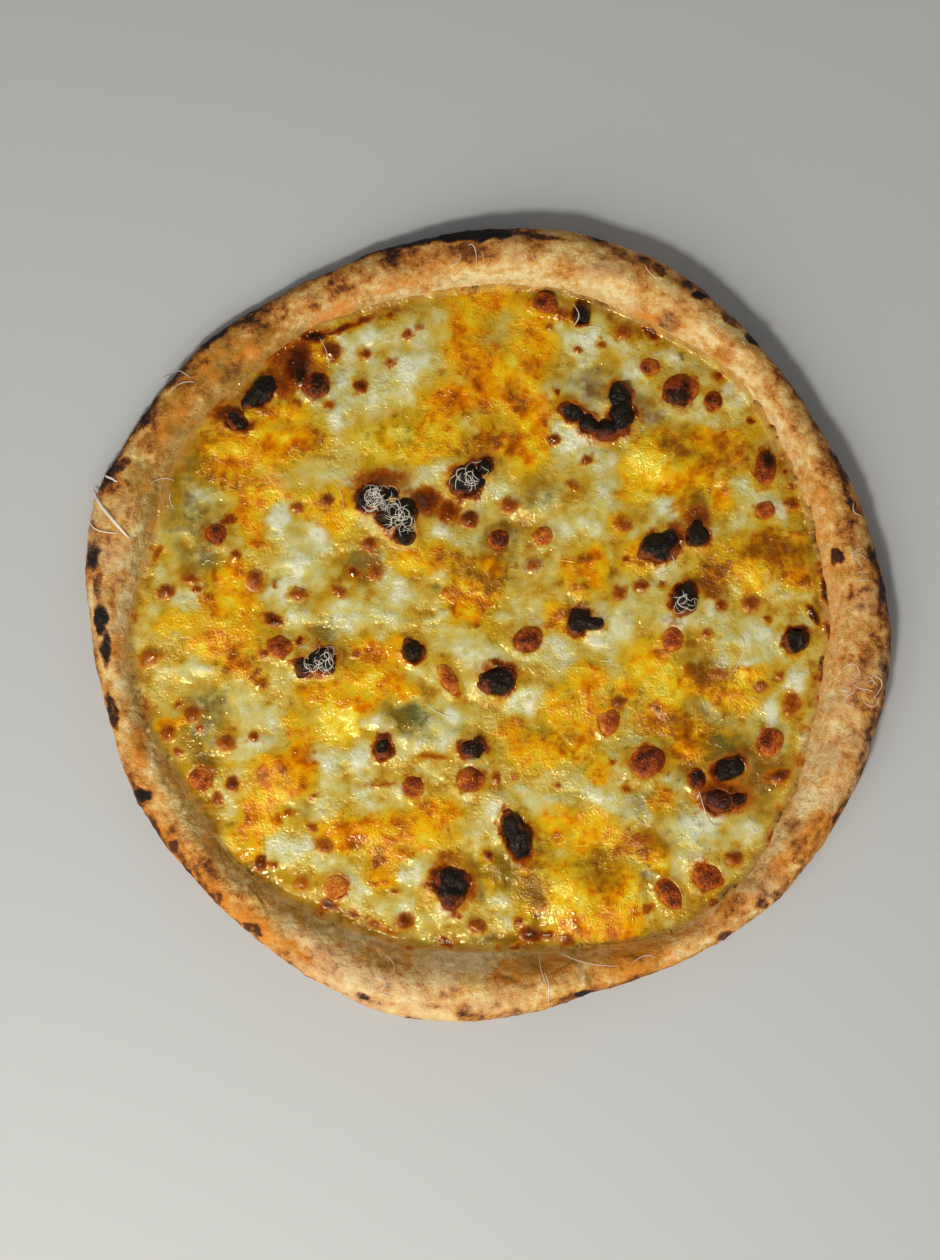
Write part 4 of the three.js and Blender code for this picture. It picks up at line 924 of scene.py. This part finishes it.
def cheese_look(x, y):
    """What lies at each place of the blanket and how it looks, as shares from 0 to 1, and how
    high its lumps stand, in millimetres."""
    plane = flat_points(x, y)
    lumps = 0.4 * pillows(plane, 12, 41) + 0.32 * noise(plane, 6.5, 42)
    lumps = lumps + 0.14 * noise(plane, 3.4, 43)
    bend_x = x + 2.6 * noise(plane, 9, 33) + 1.5 * noise(plane, 3.5, 34)
    bend_y = y + 2.6 * noise(plane, 9, 35) + 1.5 * noise(plane, 3.5, 36)
    gold = np.zeros(len(x))
    hue = np.full(len(x), 1e-6)
    weight = np.full(len(x), 2e-6)
    glaze = np.zeros(len(x))
    for spot in GOLD:
        inside = fade(reach(bend_x, bend_y, spot), 1.75, 0.35)
        gold = gold + 0.9 * inside * (1 - gold)
        hue += inside * inside * spot[5]
        weight += inside * inside
        glaze = np.maximum(glaze, fade(reach(bend_x, bend_y, spot), 2.8, 0.8))
    hue = 0.1 + 0.85 * hue / weight + 0.38 * noise(plane, 7, 51) + 0.18 * noise(plane, 3, 52)
    milky = cover(bend_x, bend_y, MILKY, 0.7)
    halo = np.zeros(len(x))
    for spot in SPOTS + BIG_DOMES:
        halo = np.maximum(halo, fade(reach(bend_x, bend_y, spot), 2.6, 0.9))
    halo *= fade(noise(plane, 6, 64) + 0.5 * noise(plane, 2.6, 65), -0.6, 0.5)
    gold = gold * np.clip(1.05 + 0.4 * noise(plane, 9, 68) + 0.25 * noise(plane, 4, 69), 0.3, 1)
    golden = gold / (gold + 0.3 * halo + 1e-6)
    hue = hue * golden + 0.6 * (1 - golden)
    gold = gold + 0.5 * halo * (1 - gold)
    near_x = x + 0.9 * noise(plane, 3.2, 37)
    near_y = y + 0.9 * noise(plane, 3.2, 38)
    toast = np.zeros(len(x))
    for spot in SPOTS:
        inside = fade(reach(near_x, near_y, spot), 1.95, 0.3)
        toast = np.maximum(toast, (0.84 * spot[5] - 0.04) * inside)
    ragged = 0.3 * noise(plane, 4, 54) + 0.16 * noise(plane, 1.8, 55)
    scorched = np.clip(0.5 + 0.6 * noise(plane, 9, 56), 0.15, 0.7)
    for spots, darkest, widest in ((CHARRED, scorched, 1.75), (BROWNED, 0.65 * scorched, 1.5)):
        for spot in (spot for group in spots for spot in group):
            near = fade(reach(near_x, near_y, spot) + ragged, widest, 0.85)
            toast = np.maximum(toast, near * darkest)
    past_edge = np.hypot(x, y) - around(CHEESE_RADIUS, np.arctan2(y, x))
    edge_noise = noise(plane, 9, 47) + 0.6 * noise(plane, 3, 48)
    toast = np.maximum(toast, 0.4 * fade(past_edge, -6, 2) * fade(edge_noise, 0.1, 0.8))
    toast = np.maximum(toast, 0.95 * fade(reach(near_x, near_y, SCORCHED_FOOT), 1.3, 0.6))
    shade = np.zeros(len(x))
    tan = np.zeros(len(x))
    for spot in SHADES:
        inside = spot[5] * fade(reach(bend_x, bend_y, spot), 1.6, 0.2)
        tan = tan + inside * (spot[6] - tan)
        shade = shade + inside * (1 - shade)
    patchy = 0.85 + 0.5 * noise(plane, 7, 70) + 0.3 * noise(plane, 3.2, 71)
    shade = shade * np.clip(patchy, 0.25, 1)
    tan = tan + 0.8 * halo * (1 - tan)
    shade = shade + 0.3 * halo * (1 - shade)
    oil = fade(noise(plane, 17, 57) + 0.6 * noise(plane, 7, 58) - 0.4 * lumps, 0.1, 0.8)
    oil = np.maximum(oil, glaze * fade(noise(plane, 9, 60) + 0.5 * noise(plane, 4, 61), -0.3, 0.5))
    # Cream is paler on high lumps and darker between them: painted shade in the hollows.
    cream = 0.52 + 0.34 * milky - 0.14 * fade(gold, 0.02, 0.6) + 0.4 * lumps
    cream += 0.34 * noise(plane, 11, 49) + 0.22 * noise(plane, 5, 50) + 0.1 * noise(plane, 2.4, 59)
    # Painted shade: the cheese is made darker towards the rim that shades it.
    cream -= 0.25 * fade(past_edge, -9, 1)
    thin = fade(past_edge + 2 * noise(plane, 5, 66) + noise(plane, 2, 67), -1.5, 4)
    wet = 0.45 + 0.4 * gold + 0.3 * noise(plane, 7, 53) + 0.3 * oil - 0.15 * milky + 0.4 * shade
    return {
        "gold": gold, "hue": hue, "milky": milky, "toast": toast, "cream": cream, "lumps": lumps,
        "green": cover(bend_x, bend_y, GREEN, 0.5), "oil": oil * (1 - 0.8 * milky),
        "shade": shade, "tan": tan, "thin": thin, "wet": wet,
    }


def cheese_height(x, y, look):
    """Height of the top of the blanket, in millimetres."""
    plane = flat_points(x, y)
    near_x = x + 0.5 * noise(plane, 3.5, 37)
    near_y = y + 0.5 * noise(plane, 3.5, 38)
    height = cheese_top(x, y) - 0.3 + look["lumps"] - 0.5 * look["shade"]
    height += POOL_THICKNESS * 0.6 * look["gold"] + 0.7 * look["milky"]
    height += look["gold"] * (0.22 * noise(plane, 4.2, 45) + 0.12 * noise(plane, 2.3, 46))
    for spot in SWELLS:
        height += spot[5] * fade(reach(x, y, spot), 1.15, 0.1)
    for spot in SPOTS:
        height += spot[6] * np.clip(1 - reach(near_x, near_y, spot) ** 2, 0, 1) ** 0.8
    for dome in BIG_DOMES:
        away = reach(x, y, dome)
        height += 0.8 * fade(away, 1.8, 1.05) - 1.8 * fade(away, 0.95, 0.7)
    return height


def top_of(pieces):
    """A function that finds the height of the highest of some pieces at a place."""
    graph = bpy.context.evaluated_depsgraph_get()
    trees = [BVHTree.FromObject(piece, graph) for piece in pieces]

    def find(x, y):
        above = Vector((x * MM, y * MM, 0.1))
        hits = [tree.ray_cast(above, Vector((0, 0, -1)))[0] for tree in trees]
        return max((hit.z / MM for hit in hits if hit), default=0)
    return find


look = cheese_look(x, y)
height = cheese_height(x, y, look)
find_dough = top_of([crust])
dough_height = np.full(len(x), float(BASE_THICKNESS))
for k in np.flatnonzero(to_edge > 0.93):
    dough_height[k] = find_dough(x[k], y[k])
past_foot = radius - around(CHEESE_RADIUS, angle)
plane = flat_points(x, y)
uneven = 0.35 * noise(plane, 4, 62) + 0.25 * noise(plane, 1.8, 63)
thin_edge = dough_height + 1.6 * fade(past_foot, 1.3 * creep, 0) - 0.6
thin_edge += uneven * fade(past_foot, 1.5, -1)
climbing = fade(past_foot, -4, 1.5)
height = height * (1 - climbing) + np.maximum(height - 2.4 * climbing, thin_edge) * climbing
height = np.where(to_edge > 0.999, dough_height - 1.0, height)
set_points(cheese, np.column_stack([x, y, height]))


def dress(piece, look):
    """Stores what the material of the melted cheese reads."""
    for name in ("gold", "hue", "cream", "toast", "green", "oil", "wet", "shade", "tan", "thin"):
        store(piece, name, look[name])


dress(cheese, look)

top_count = len(cheese.data.vertices)
bpy.ops.object.mode_set(mode="EDIT")
bpy.ops.mesh.select_mode(type="EDGE")
bpy.ops.mesh.select_all(action="DESELECT")
bpy.ops.mesh.select_non_manifold()
bpy.ops.mesh.extrude_edges_move()
bpy.ops.object.mode_set(mode="OBJECT")
points = get_points(cheese)
points[top_count:, 2] = CHEESE_FLOOR
points[top_count:, :2] *= 0.97
set_points(cheese, points)
bpy.ops.object.mode_set(mode="EDIT")
bpy.ops.mesh.extrude_edges_move()
bpy.ops.mesh.merge(type="CENTER")
bpy.ops.mesh.select_all(action="SELECT")
bpy.ops.mesh.normals_make_consistent(inside=False)
bpy.ops.object.mode_set(mode="OBJECT")
bpy.ops.object.shade_smooth()

melted, tree, shader = new_material("melted_cheese")
place = place_in_mm(tree)
broad = grain(tree, place, 4.0, 2, 0.5, 0.3)
middle = grain(tree, place, 1.9, 1, 0.5, 0.4)
fine = grain(tree, place, 0.9, 1, 0.5)
cream_value = vary(tree, stored(tree, "cream"), (broad, 0.5), (middle, 0.35), (fine, 0.25))
cream_colour = colours(
    tree, cream_value,
    (0.02, srgb(150, 100, 16)), (0.2, srgb(184, 134, 32)), (0.36, srgb(204, 166, 56)),
    (0.54, srgb(214, 192, 96)), (0.74, srgb(218, 208, 138)), (0.95, srgb(234, 230, 192)),
)
oil_value = vary(tree, stored(tree, "oil"), (broad, 0.8), (middle, 0.6))
base = blend(tree, stretch(tree, oil_value, 0.1, 1.0, 0, 0.55), cream_colour, srgb(212, 168, 20))
hue_value = vary(tree, stored(tree, "hue"), (broad, 0.6), (middle, 0.3))
gold_colour = colours(
    tree, hue_value,
    (0.02, srgb(252, 226, 84)), (0.25, srgb(250, 200, 26)), (0.48, srgb(246, 166, 4)),
    (0.72, srgb(220, 118, 0)), (0.98, srgb(154, 72, 0)),
)
gold_value = vary(tree, stored(tree, "gold"), (broad, 0.8), (middle, 0.5))
base = blend(tree, stretch(tree, gold_value, 0.1, 0.6, 0, 0.75), base, srgb(224, 182, 24))
base = blend(tree, stretch(tree, gold_value, 0.3, 0.95), base, gold_colour)
# Olive and brown patches: oil, browning and painted shade in hollows and on the sides away from
# the light.
shade_value = vary(tree, stored(tree, "shade"), (broad, 0.8), (middle, 0.5))
shade_colour = blend(tree, stored(tree, "tan"), srgb(104, 82, 10), srgb(130, 62, 4))
base = blend(tree, stretch(tree, shade_value, 0.0, 0.95, 0, 0.88), base, shade_colour)
thin_value = vary(tree, stored(tree, "thin"), (broad, 0.5), (fine, 0.3))
base = blend(tree, stretch(tree, thin_value, 0.1, 1.0, 0, 0.85), base, srgb(190, 140, 68))
green_value = vary(tree, stored(tree, "green"), (middle, 0.9))
base = blend(tree, stretch(tree, green_value, 0.3, 1.0, 0, 0.8), base, srgb(96, 100, 40))
toast_value = vary(tree, stored(tree, "toast"), (middle, 0.3), (fine, 0.2))
toast_colour = colours(
    tree, toast_value,
    (0.06, srgb(208, 150, 30)), (0.25, srgb(190, 112, 16)), (0.4, srgb(166, 82, 8)),
    (0.54, srgb(130, 54, 6)), (0.7, srgb(82, 32, 6)), (0.9, srgb(28, 14, 8)),
)
base = blend(tree, stretch(tree, toast_value, 0.03, 0.45), base, toast_colour)
tree.links.new(base, shader.inputs["Base Color"])
wet_value = vary(tree, stored(tree, "wet"), (broad, 0.8), (middle, 0.5))
tree.links.new(stretch(tree, wet_value, 0.1, 0.75, 0.36, 0.07), shader.inputs["Roughness"])
shader.inputs["Specular IOR Level"].default_value = 0.5
shader.inputs["Specular Tint"].default_value = (1.0, 0.84, 0.4, 1)
shader.inputs["Subsurface Weight"].default_value = 0.15
shader.inputs["Subsurface Radius"].default_value = (1.0, 0.6, 0.25)
shader.inputs["Subsurface Scale"].default_value = 2.5 * MM
calm = stretch(tree, grain(tree, place, 11, 1), 0.38, 0.6, 0.25, 1.0)
lumpy = calculate(tree, "MULTIPLY", calculate(tree, "SUBTRACT", broad, 0.5), calm)
crumbly = calculate(tree, "MULTIPLY", calculate(tree, "SUBTRACT", middle, 0.5), calm)
beaded = calculate(tree, "MULTIPLY", calculate(tree, "SUBTRACT", fine, 0.5), calm)
beaded = calculate(tree, "MULTIPLY", beaded, stretch(tree, gold_value, 0.2, 0.9, 0.5, 1.0))
raise_surface(tree, shader, (lumpy, 0.85), (crumbly, 0.45), (beaded, 0.5))
cheese.data.materials.append(melted)
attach(cheese, "root")
golden_nodes = [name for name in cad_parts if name.startswith("golden_cheese")]
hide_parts("white_cheese", *golden_nodes)

# ---- Melted shreds -----------------------------------------------------------------------------
# The cheese went on in shreds. Many still show as soft ridges that lie half sunk in the blanket,
# most of all in the golden pools, and oil stands on them in small drops.
SHREDS = 520
DROPS = 3200
DROP_HEIGHT = 0.42  # as a share of its half width, as DROP_SINK is
DROP_SINK = 0.27


def many_balls(name, count, segments, rings):
    """Equal balls in one piece, to be shaped into strands or drops: the piece, the unit places on
    its balls, and for each of its points the number of the ball and the level up the ball."""
    bpy.ops.object.select_all(action="DESELECT")
    bpy.ops.mesh.primitive_uv_sphere_add(segments=segments, ring_count=rings, radius=1)
    piece = start_piece(name)
    ball = get_points(piece) * MM
    row = piece.modifiers.new("row", "ARRAY")
    row.count = count
    bpy.ops.object.modifier_apply(modifier=row.name)
    bpy.ops.object.shade_smooth()
    level = np.rint((np.arcsin(np.clip(ball[:, 2], -1, 1)) / math.pi + 0.5) * rings).astype(int)
    number = np.repeat(np.arange(count), len(ball))
    return piece, np.tile(ball, (count, 1)), number, np.tile(level, count)


def lay_strands(piece, ball, number, level, path, width, depth):
    """Wraps each ball round a path of its own, an array of strands by levels by x, y and z."""
    ahead = np.gradient(path, axis=1)
    ahead /= np.linalg.norm(ahead[:, :, :2], axis=2)[:, :, None]
    along = np.linspace(-1, 1, path.shape[1])
    girth = (width * (1 - np.abs(along[level]) ** 3) ** 0.5)[:, None]
    out = ball[:, :2] / np.maximum(np.linalg.norm(ball[:, :2], axis=1), 1e-6)[:, None]
    side = np.column_stack([-ahead[number, level, 1], ahead[number, level, 0], 0 * number])
    up = np.column_stack([0 * number, 0 * number, 0 * number + depth])
    points = path[number, level] + girth * (out[:, :1] * side + out[:, 1:] * up)
    set_points(piece, points)


def scatter(count, chance, weigh):
    """Random places on the cheese, kept with a likelihood that depends on the look there."""
    kept = np.empty((0, 2))
    while len(kept) < count:
        tries = chance.uniform(-138, 138, (4 * count, 2))
        edge = around(CHEESE_RADIUS, np.arctan2(tries[:, 1], tries[:, 0]))
        tries = tries[np.hypot(tries[:, 0], tries[:, 1]) < edge - 6]
        likely = weigh(cheese_look(tries[:, 0], tries[:, 1]))
        kept = np.vstack([kept, tries[chance.random(len(tries)) < likely]])
    return kept[:count]


chance = np.random.default_rng(21)
middles = scatter(SHREDS, chance, lambda look: 0.02 + 0.8 * look["gold"] - 0.4 * look["milky"])
shreds, ball, number, level = many_balls("melted_shreds", SHREDS, 6, 10)
along = np.linspace(-1, 1, 11)[None, :]
half_length = chance.uniform(2.5, 7.5, (SHREDS, 1))
flow = 3.2 * noise(flat_points(*middles.T), 26, 95)
heading = (flow + chance.normal(0, 0.6, SHREDS))[:, None]
bow = half_length * (0.35 * chance.normal(0, 1, (SHREDS, 1)) * (along * along - 0.4))
bow += 0.35 * np.sin(3.5 * along + chance.uniform(0, 6, (SHREDS, 1)))
path_x = middles[:, :1] + along * half_length * np.cos(heading) - bow * np.sin(heading)
path_y = middles[:, 1:] + along * half_length * np.sin(heading) + bow * np.cos(heading)
flat_x, flat_y = path_x.ravel(), path_y.ravel()
look = cheese_look(flat_x, flat_y)
path_z = cheese_height(flat_x, flat_y, look).reshape(SHREDS, -1)
width = chance.uniform(0.4, 0.9, SHREDS)
path_z += (-0.4 - 0.3 * along ** 2) * width[:, None] + chance.uniform(-0.1, 0.05, (SHREDS, 1))
path = np.stack([path_x, path_y, path_z], axis=2)
lay_strands(shreds, ball, number, level, path, width[number], 0.55)
at = number * 11 + level
# Each strand is paler or darker at random, mostly paler than the blanket: partly a painted
# highlight along the strands.
lighter = chance.normal(0.06, 0.08, SHREDS)[number]
look = {name: value[at] for name, value in look.items()}
look["cream"] = look["cream"] + 1.2 * lighter
look["hue"] = look["hue"] - lighter
look["wet"] = look["wet"] + 0.3
dress(shreds, look)
shreds.data.materials.append(melted)
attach(shreds, "root")

middles = scatter(DROPS, chance, lambda look: 0.01 + 0.7 * look["gold"] ** 2 + 0.1 * look["oil"])
drops, ball, number, level = many_balls("oil_drops", DROPS, 8, 4)
look = cheese_look(*middles.T)
level_here = cheese_height(*middles.T, look)
half = 0.22 + 0.45 * chance.random(DROPS) ** 3
long_way = half * chance.uniform(1, 1.8, DROPS)
turn = chance.uniform(0, math.pi, DROPS)
local_x, local_y = ball[:, 0] * long_way[number], ball[:, 1] * half[number]
set_points(drops, np.column_stack([
    middles[number, 0] + local_x * np.cos(turn[number]) - local_y * np.sin(turn[number]),
    middles[number, 1] + local_x * np.sin(turn[number]) + local_y * np.cos(turn[number]),
    level_here[number] + (DROP_HEIGHT * ball[:, 2] - DROP_SINK) * half[number] + 0.05,
]))
look = {name: value[number] for name, value in look.items()}
look["wet"] = look["wet"] + 1
dress(drops, look)
drops.data.materials.append(melted)
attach(drops, "root")

# ---- Charred and browned bubbles ---------------------------------------------------------------
# The largest bubbles of cheese stood nearest to the heat. Their skins are thin, wrinkled and
# glossy: black and blistered on the charred ones, red-brown and smooth on the browned ones.
BUBBLE_ROOT = 1.8
DOME_SEGMENTS = 40
DOME_RINGS = 22


def add_dome(spot, seed, ragged):
    """One dome over an oval, uneven round its edge, with a root that sinks into the cheese."""
    middle_x, middle_y, half_x, half_y, turn, rise = spot
    bpy.ops.object.select_all(action="DESELECT")
    bpy.ops.mesh.primitive_uv_sphere_add(segments=DOME_SEGMENTS, ring_count=DOME_RINGS, radius=1)
    dome = start_piece("dome")
    ball = get_points(dome) * MM
    around_it = np.arctan2(ball[:, 1], ball[:, 0])
    wander = 0.1 * np.sin(2 * around_it + seed) + 0.08 * np.sin(3 * around_it + 2.3 * seed)
    wander = 1 + ragged * (wander + 0.05 * np.sin(5 * around_it + 1.7 * seed))
    crag = 1 + 0.08 * np.sin(4 * around_it + 3 * seed) * (1 - np.clip(ball[:, 2], 0, 1))
    above = np.clip(ball[:, 2], 0, 1) ** 0.85 * rise * crag
    below = np.clip(ball[:, 2], -1, 0) * BUBBLE_ROOT
    local_x, local_y = ball[:, 0] * half_x * wander, ball[:, 1] * half_y * wander
    cos, sin = math.cos(math.radians(turn)), math.sin(math.radians(turn))
    surface = cheese_top(np.array([middle_x]), np.array([middle_y]))[0]
    set_points(dome, np.column_stack([
        middle_x + local_x * cos - local_y * sin,
        middle_y + local_x * sin + local_y * cos,
        surface + above + below,
    ]))
    return dome


def join_domes(name, bubbles, voxel, ragged):
    """All domes of a list of bubbles as one closed skin, in which touching domes merge."""
    domes = []
    for i, spots in enumerate(bubbles):
        domes += [add_dome(spot, i + k, ragged) for k, spot in enumerate(spots)]
    for dome in domes:
        dome.select_set(True)
    bpy.context.view_layer.objects.active = domes[0]
    bpy.ops.object.join()
    skin = bpy.context.object
    skin.name = name
    skin.data.name = name
    remesh = skin.modifiers.new("one_skin", "REMESH")
    remesh.mode = "VOXEL"
    remesh.voxel_size = voxel * MM
    bpy.ops.object.modifier_apply(modifier=remesh.name)
    bpy.ops.object.shade_smooth()
    return skin


def height_share(points, bubbles):
    """How near the middle of its bubble each point is: 0 at the edge, 1 at the top."""
    share = np.zeros(len(points))
    for spot in (spot for spots in bubbles for spot in spots):
        away = reach(points[:, 0], points[:, 1], spot)
        share = np.maximum(share, np.clip(1 - away * away, 0, 1))
    return share


def wrinkle(skin, bubbles, amounts, seed):
    """Wrinkles and blisters of a skin: sizes in millimetres with their depths."""
    points = get_points(skin)
    lift = np.zeros(len(points))
    for number, (size, depth, folded) in enumerate(amounts):
        value = noise(points, size, seed + number)
        lift += depth * (0.6 - 2 * np.abs(value) if folded else value)
    set_points(skin, points + get_normals(skin) * lift[:, None])
    return lift


charred = join_domes("charred_bubbles", CHARRED, 0.42, 1)
folds = wrinkle(charred, CHARRED, [(5, 1.0, False), (2.6, 0.35, False), (3.2, 0.3, True)], 61)
points = get_points(charred)
share = height_share(points, CHARRED)
burnt = fade(share + 0.6 * noise(points, 6, 71) + 0.35 * noise(points, 2.5, 72), -0.25, 0.65)
burnt -= 1.3 * cover(points[:, 0] + noise(points, 3, 73), points[:, 1], REDDER, 0.6)
store(charred, "burnt", burnt)
store(charred, "fold", 0.5 + folds)

char, tree, shader = new_material("charred_cheese")
place = place_in_mm(tree)
fine = grain(tree, place, 1.2, 2, 0.5, 0.5)
grit = grain(tree, place, 0.5, 1, 0.5)
burnt_value = vary(tree, stored(tree, "burnt"), (fine, 0.4), (grit, 0.15))
char_colour = colours(
    tree, burnt_value,
    (0.03, srgb(126, 54, 18)), (0.25, srgb(84, 32, 12)), (0.45, srgb(40, 16, 9)),
    (0.6, srgb(13, 9, 8)), (1.0, srgb(8, 7, 7)),
)
tree.links.new(char_colour, shader.inputs["Base Color"])
tree.links.new(stretch(tree, fine, 0.3, 0.7, 0.08, 0.3), shader.inputs["Roughness"])
shader.inputs["Specular IOR Level"].default_value = 0.34
shader.inputs["Specular Tint"].default_value = (1.0, 0.74, 0.54, 1)
raise_surface(tree, shader, (fine, 1.0), (grit, 0.25))
charred.data.materials.append(char)
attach(charred, "root")
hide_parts(*[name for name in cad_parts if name.startswith("charred_bubble")])

browned = join_domes("browned_bubbles", BROWNED, 0.42, 0.45)
folds = wrinkle(browned, BROWNED, [(4, 0.22, False), (2.4, 0.12, True), (1.2, 0.05, True)], 81)
points = get_points(browned)
share = height_share(points, BROWNED)
depth = 0.4 + 0.21 * fade(share, 0, 0.7) + 0.2 * noise(points, 11, 90)
depth += 0.26 * noise(points, 4, 91)
depth += 0.12 * noise(points, 1.8, 92)
# Darker sides of the browned bubbles: partly soot, partly painted shade.
depth += 0.5 * cover(points[:, 0] + noise(points, 2.5, 93), points[:, 1], SOOT_AND_SHADE, 0.8)
depth -= cover(points[:, 0] + noise(points, 2.5, 94), points[:, 1], PALER, 0.4)
store(browned, "burnt", depth)

skin_brown, tree, shader = new_material("browned_cheese")
place = place_in_mm(tree)
fine = grain(tree, place, 1.6, 2, 0.6, 0.6)
grit = grain(tree, place, 0.7, 1, 0.5)
burnt_value = vary(tree, stored(tree, "burnt"), (fine, 0.6), (grit, 0.35))
brown_colour = colours(
    tree, burnt_value,
    (0.02, srgb(232, 152, 62)), (0.2, srgb(212, 122, 34)), (0.4, srgb(182, 84, 22)),
    (0.6, srgb(134, 48, 14)), (0.78, srgb(76, 26, 10)), (0.95, srgb(26, 12, 8)),
)
tree.links.new(brown_colour, shader.inputs["Base Color"])
tree.links.new(stretch(tree, fine, 0.3, 0.7, 0.06, 0.22), shader.inputs["Roughness"])
shader.inputs["Specular IOR Level"].default_value = 0.32
shader.inputs["Specular Tint"].default_value = (1.0, 0.74, 0.42, 1)
raise_surface(tree, shader, (fine, 1.2), (grit, 0.3))
browned.data.materials.append(skin_brown)
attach(browned, "root")
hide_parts(*[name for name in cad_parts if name.startswith("browned_bubble")])

# ---- Grated shreds -----------------------------------------------------------------------------
# Hard cheese was grated over the pizza: pale curly threads, in nests on some charred bubbles and
# singly on the rim. The threads with points are given one by one, those of a nest at random.
CURLS = [
    [(-7, 154.5), (-4.5, 154), (-3.5, 147.5)], [(149, -24), (153.5, -26), (158, -26.5)],
    [(-161, 56.5), (-155, 46.5), (-144.5, 34.5)], [(-162.5, 43.5), (-158, 38.5), (-149, 38)],
    [(-156, 61.5), (-153, 60), (-150, 58.5)],
    [(24, -141), (26, -148), (25.5, -155)], [(65, 146.5), (67.5, 142.5), (71, 141)],
    [(-134, 100), (-127, 104), (-120, 101)], [(38.5, 121), (44, 122.5), (49, 120.5)],
    [(87, -66), (92, -80), (98, -82)], [(60, -76), (64, -81), (70, -83)],
    [(-24, -32), (-19, -36), (-14, -37)], [(-66, 62), (-60, 56), (-58, 47)],
    [(-143, 48.5), (-144.5, 44), (-144.5, 39.5)], [(-129, 95), (-124, 99), (-118, 99)],
    [(-68, 118), (-65, 112), (-64, 105)], [(30, -134), (42, -138), (55, -139)],
    [(60, -138), (65, -135), (70, -136)], [(-40, -135), (-37, -139), (-38, -142)],
    [(22, -133), (23, -141), (26, -148)], [(36, 132), (38, 127), (36.5, 122)],
    [(145, -18), (150, -16), (152, -21)], [(150, -27), (146, -31), (151, -34)],
    [(157, -20), (161, -24), (158, -30)], [(153, -31), (158, -33), (160, -29)],
    [(-129.5, 55), (-129, 51), (-128, 48)],
    [(-137, 57), (-133, 60), (-127, 59)], [(85, 6), (79, 9), (83, 13)],
    [(101, -20), (106, -10), (104, -5)], [(70, 20), (77, 24), (76, 29)],
]
# Nests: middle, half size across and up, and number of threads.
NESTS = [
    (-44, 51, 7, 7, 44), (-35, 43, 6, 6, 30), (-7, 61, 6, 6, 18), (82, 11, 5, 5, 9),
    (-67, -14, 7, 6, 26), (152, -25, 8, 7, 5), (0, 150, 25, 5, 4),
    (-40, -148, 20, 5, 5), (150, 30, 5, 40, 6),
    (100, 120, 20, 8, 6),
]
BROAD = [(2, 0.8), (3, 0.35), (4, 0.5)]  # places in CURLS and half widths of three on the rim
BROAD_DEPTH = 0.35  # their depth, as a share of their width
THREAD_LEVELS = 14


chance = np.random.default_rng(33)
curls = [np.array(curl, float) for curl in CURLS]
for middle_x, middle_y, half_x, half_y, count in NESTS:
    for _ in range(count):
        spread = np.clip(chance.normal(0, 0.45, 2), -1, 1)
        middle = np.array([middle_x, middle_y]) + spread * [half_x, half_y]
        heading = chance.uniform(0, TURN)
        half = chance.uniform(1.4, 3.8)
        ahead = np.array([math.cos(heading), math.sin(heading)]) * half
        bow = np.array([-ahead[1], ahead[0]]) * chance.choice([-1, 1]) * chance.uniform(0.2, 1.3)
        curls.append(np.array([middle - ahead, middle + bow, middle + ahead]))
threads, ball, number, level = many_balls("grated_shreds", len(curls), 5, THREAD_LEVELS)
share = np.linspace(0, 1, THREAD_LEVELS + 1)[:, None]
find_top = top_of([crust, cheese, charred, browned])
paths = []
for first, bend, last in curls:
    control = 2 * bend - (first + last) / 2
    flat = first * (1 - share) ** 2 + control * 2 * share * (1 - share) + last * share ** 2
    sway = chance.uniform(0.1, 0.5) * np.sin(share * chance.uniform(4, 12) + chance.uniform(0, 6))
    flat = flat + sway * [[chance.uniform(-1, 1), chance.uniform(-1, 1)]]
    top = np.array([find_top(x, y) for x, y in flat])
    padded = np.pad(top, 2, mode="edge")
    smooth = np.max([padded[k:k + len(top)] for k in range(5)], axis=0)
    paths.append(np.column_stack([flat, 0.5 * (top + smooth) + 0.12 + 0.25 * chance.random()]))
width = chance.uniform(0.09, 0.16, len(curls))
width[:len(CURLS)] *= 1.3
depth = np.full(len(curls), 0.9)
for strand, half_width in BROAD:
    width[strand], depth[strand] = half_width, BROAD_DEPTH
lay_strands(threads, ball, number, level, np.array(paths), width[number], depth[number])

grated, tree, shader = new_material("grated_cheese")
place = place_in_mm(tree)
fine = grain(tree, place, 1.5, 2, 0.5)
thread_colour = colours(tree, fine, (0.3, srgb(238, 214, 190)), (0.7, srgb(250, 236, 216)))
tree.links.new(thread_colour, shader.inputs["Base Color"])
shader.inputs["Roughness"].default_value = 0.35
shader.inputs["Subsurface Weight"].default_value = 0.2
shader.inputs["Subsurface Scale"].default_value = 1 * MM
threads.data.materials.append(grated)
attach(threads, "root")
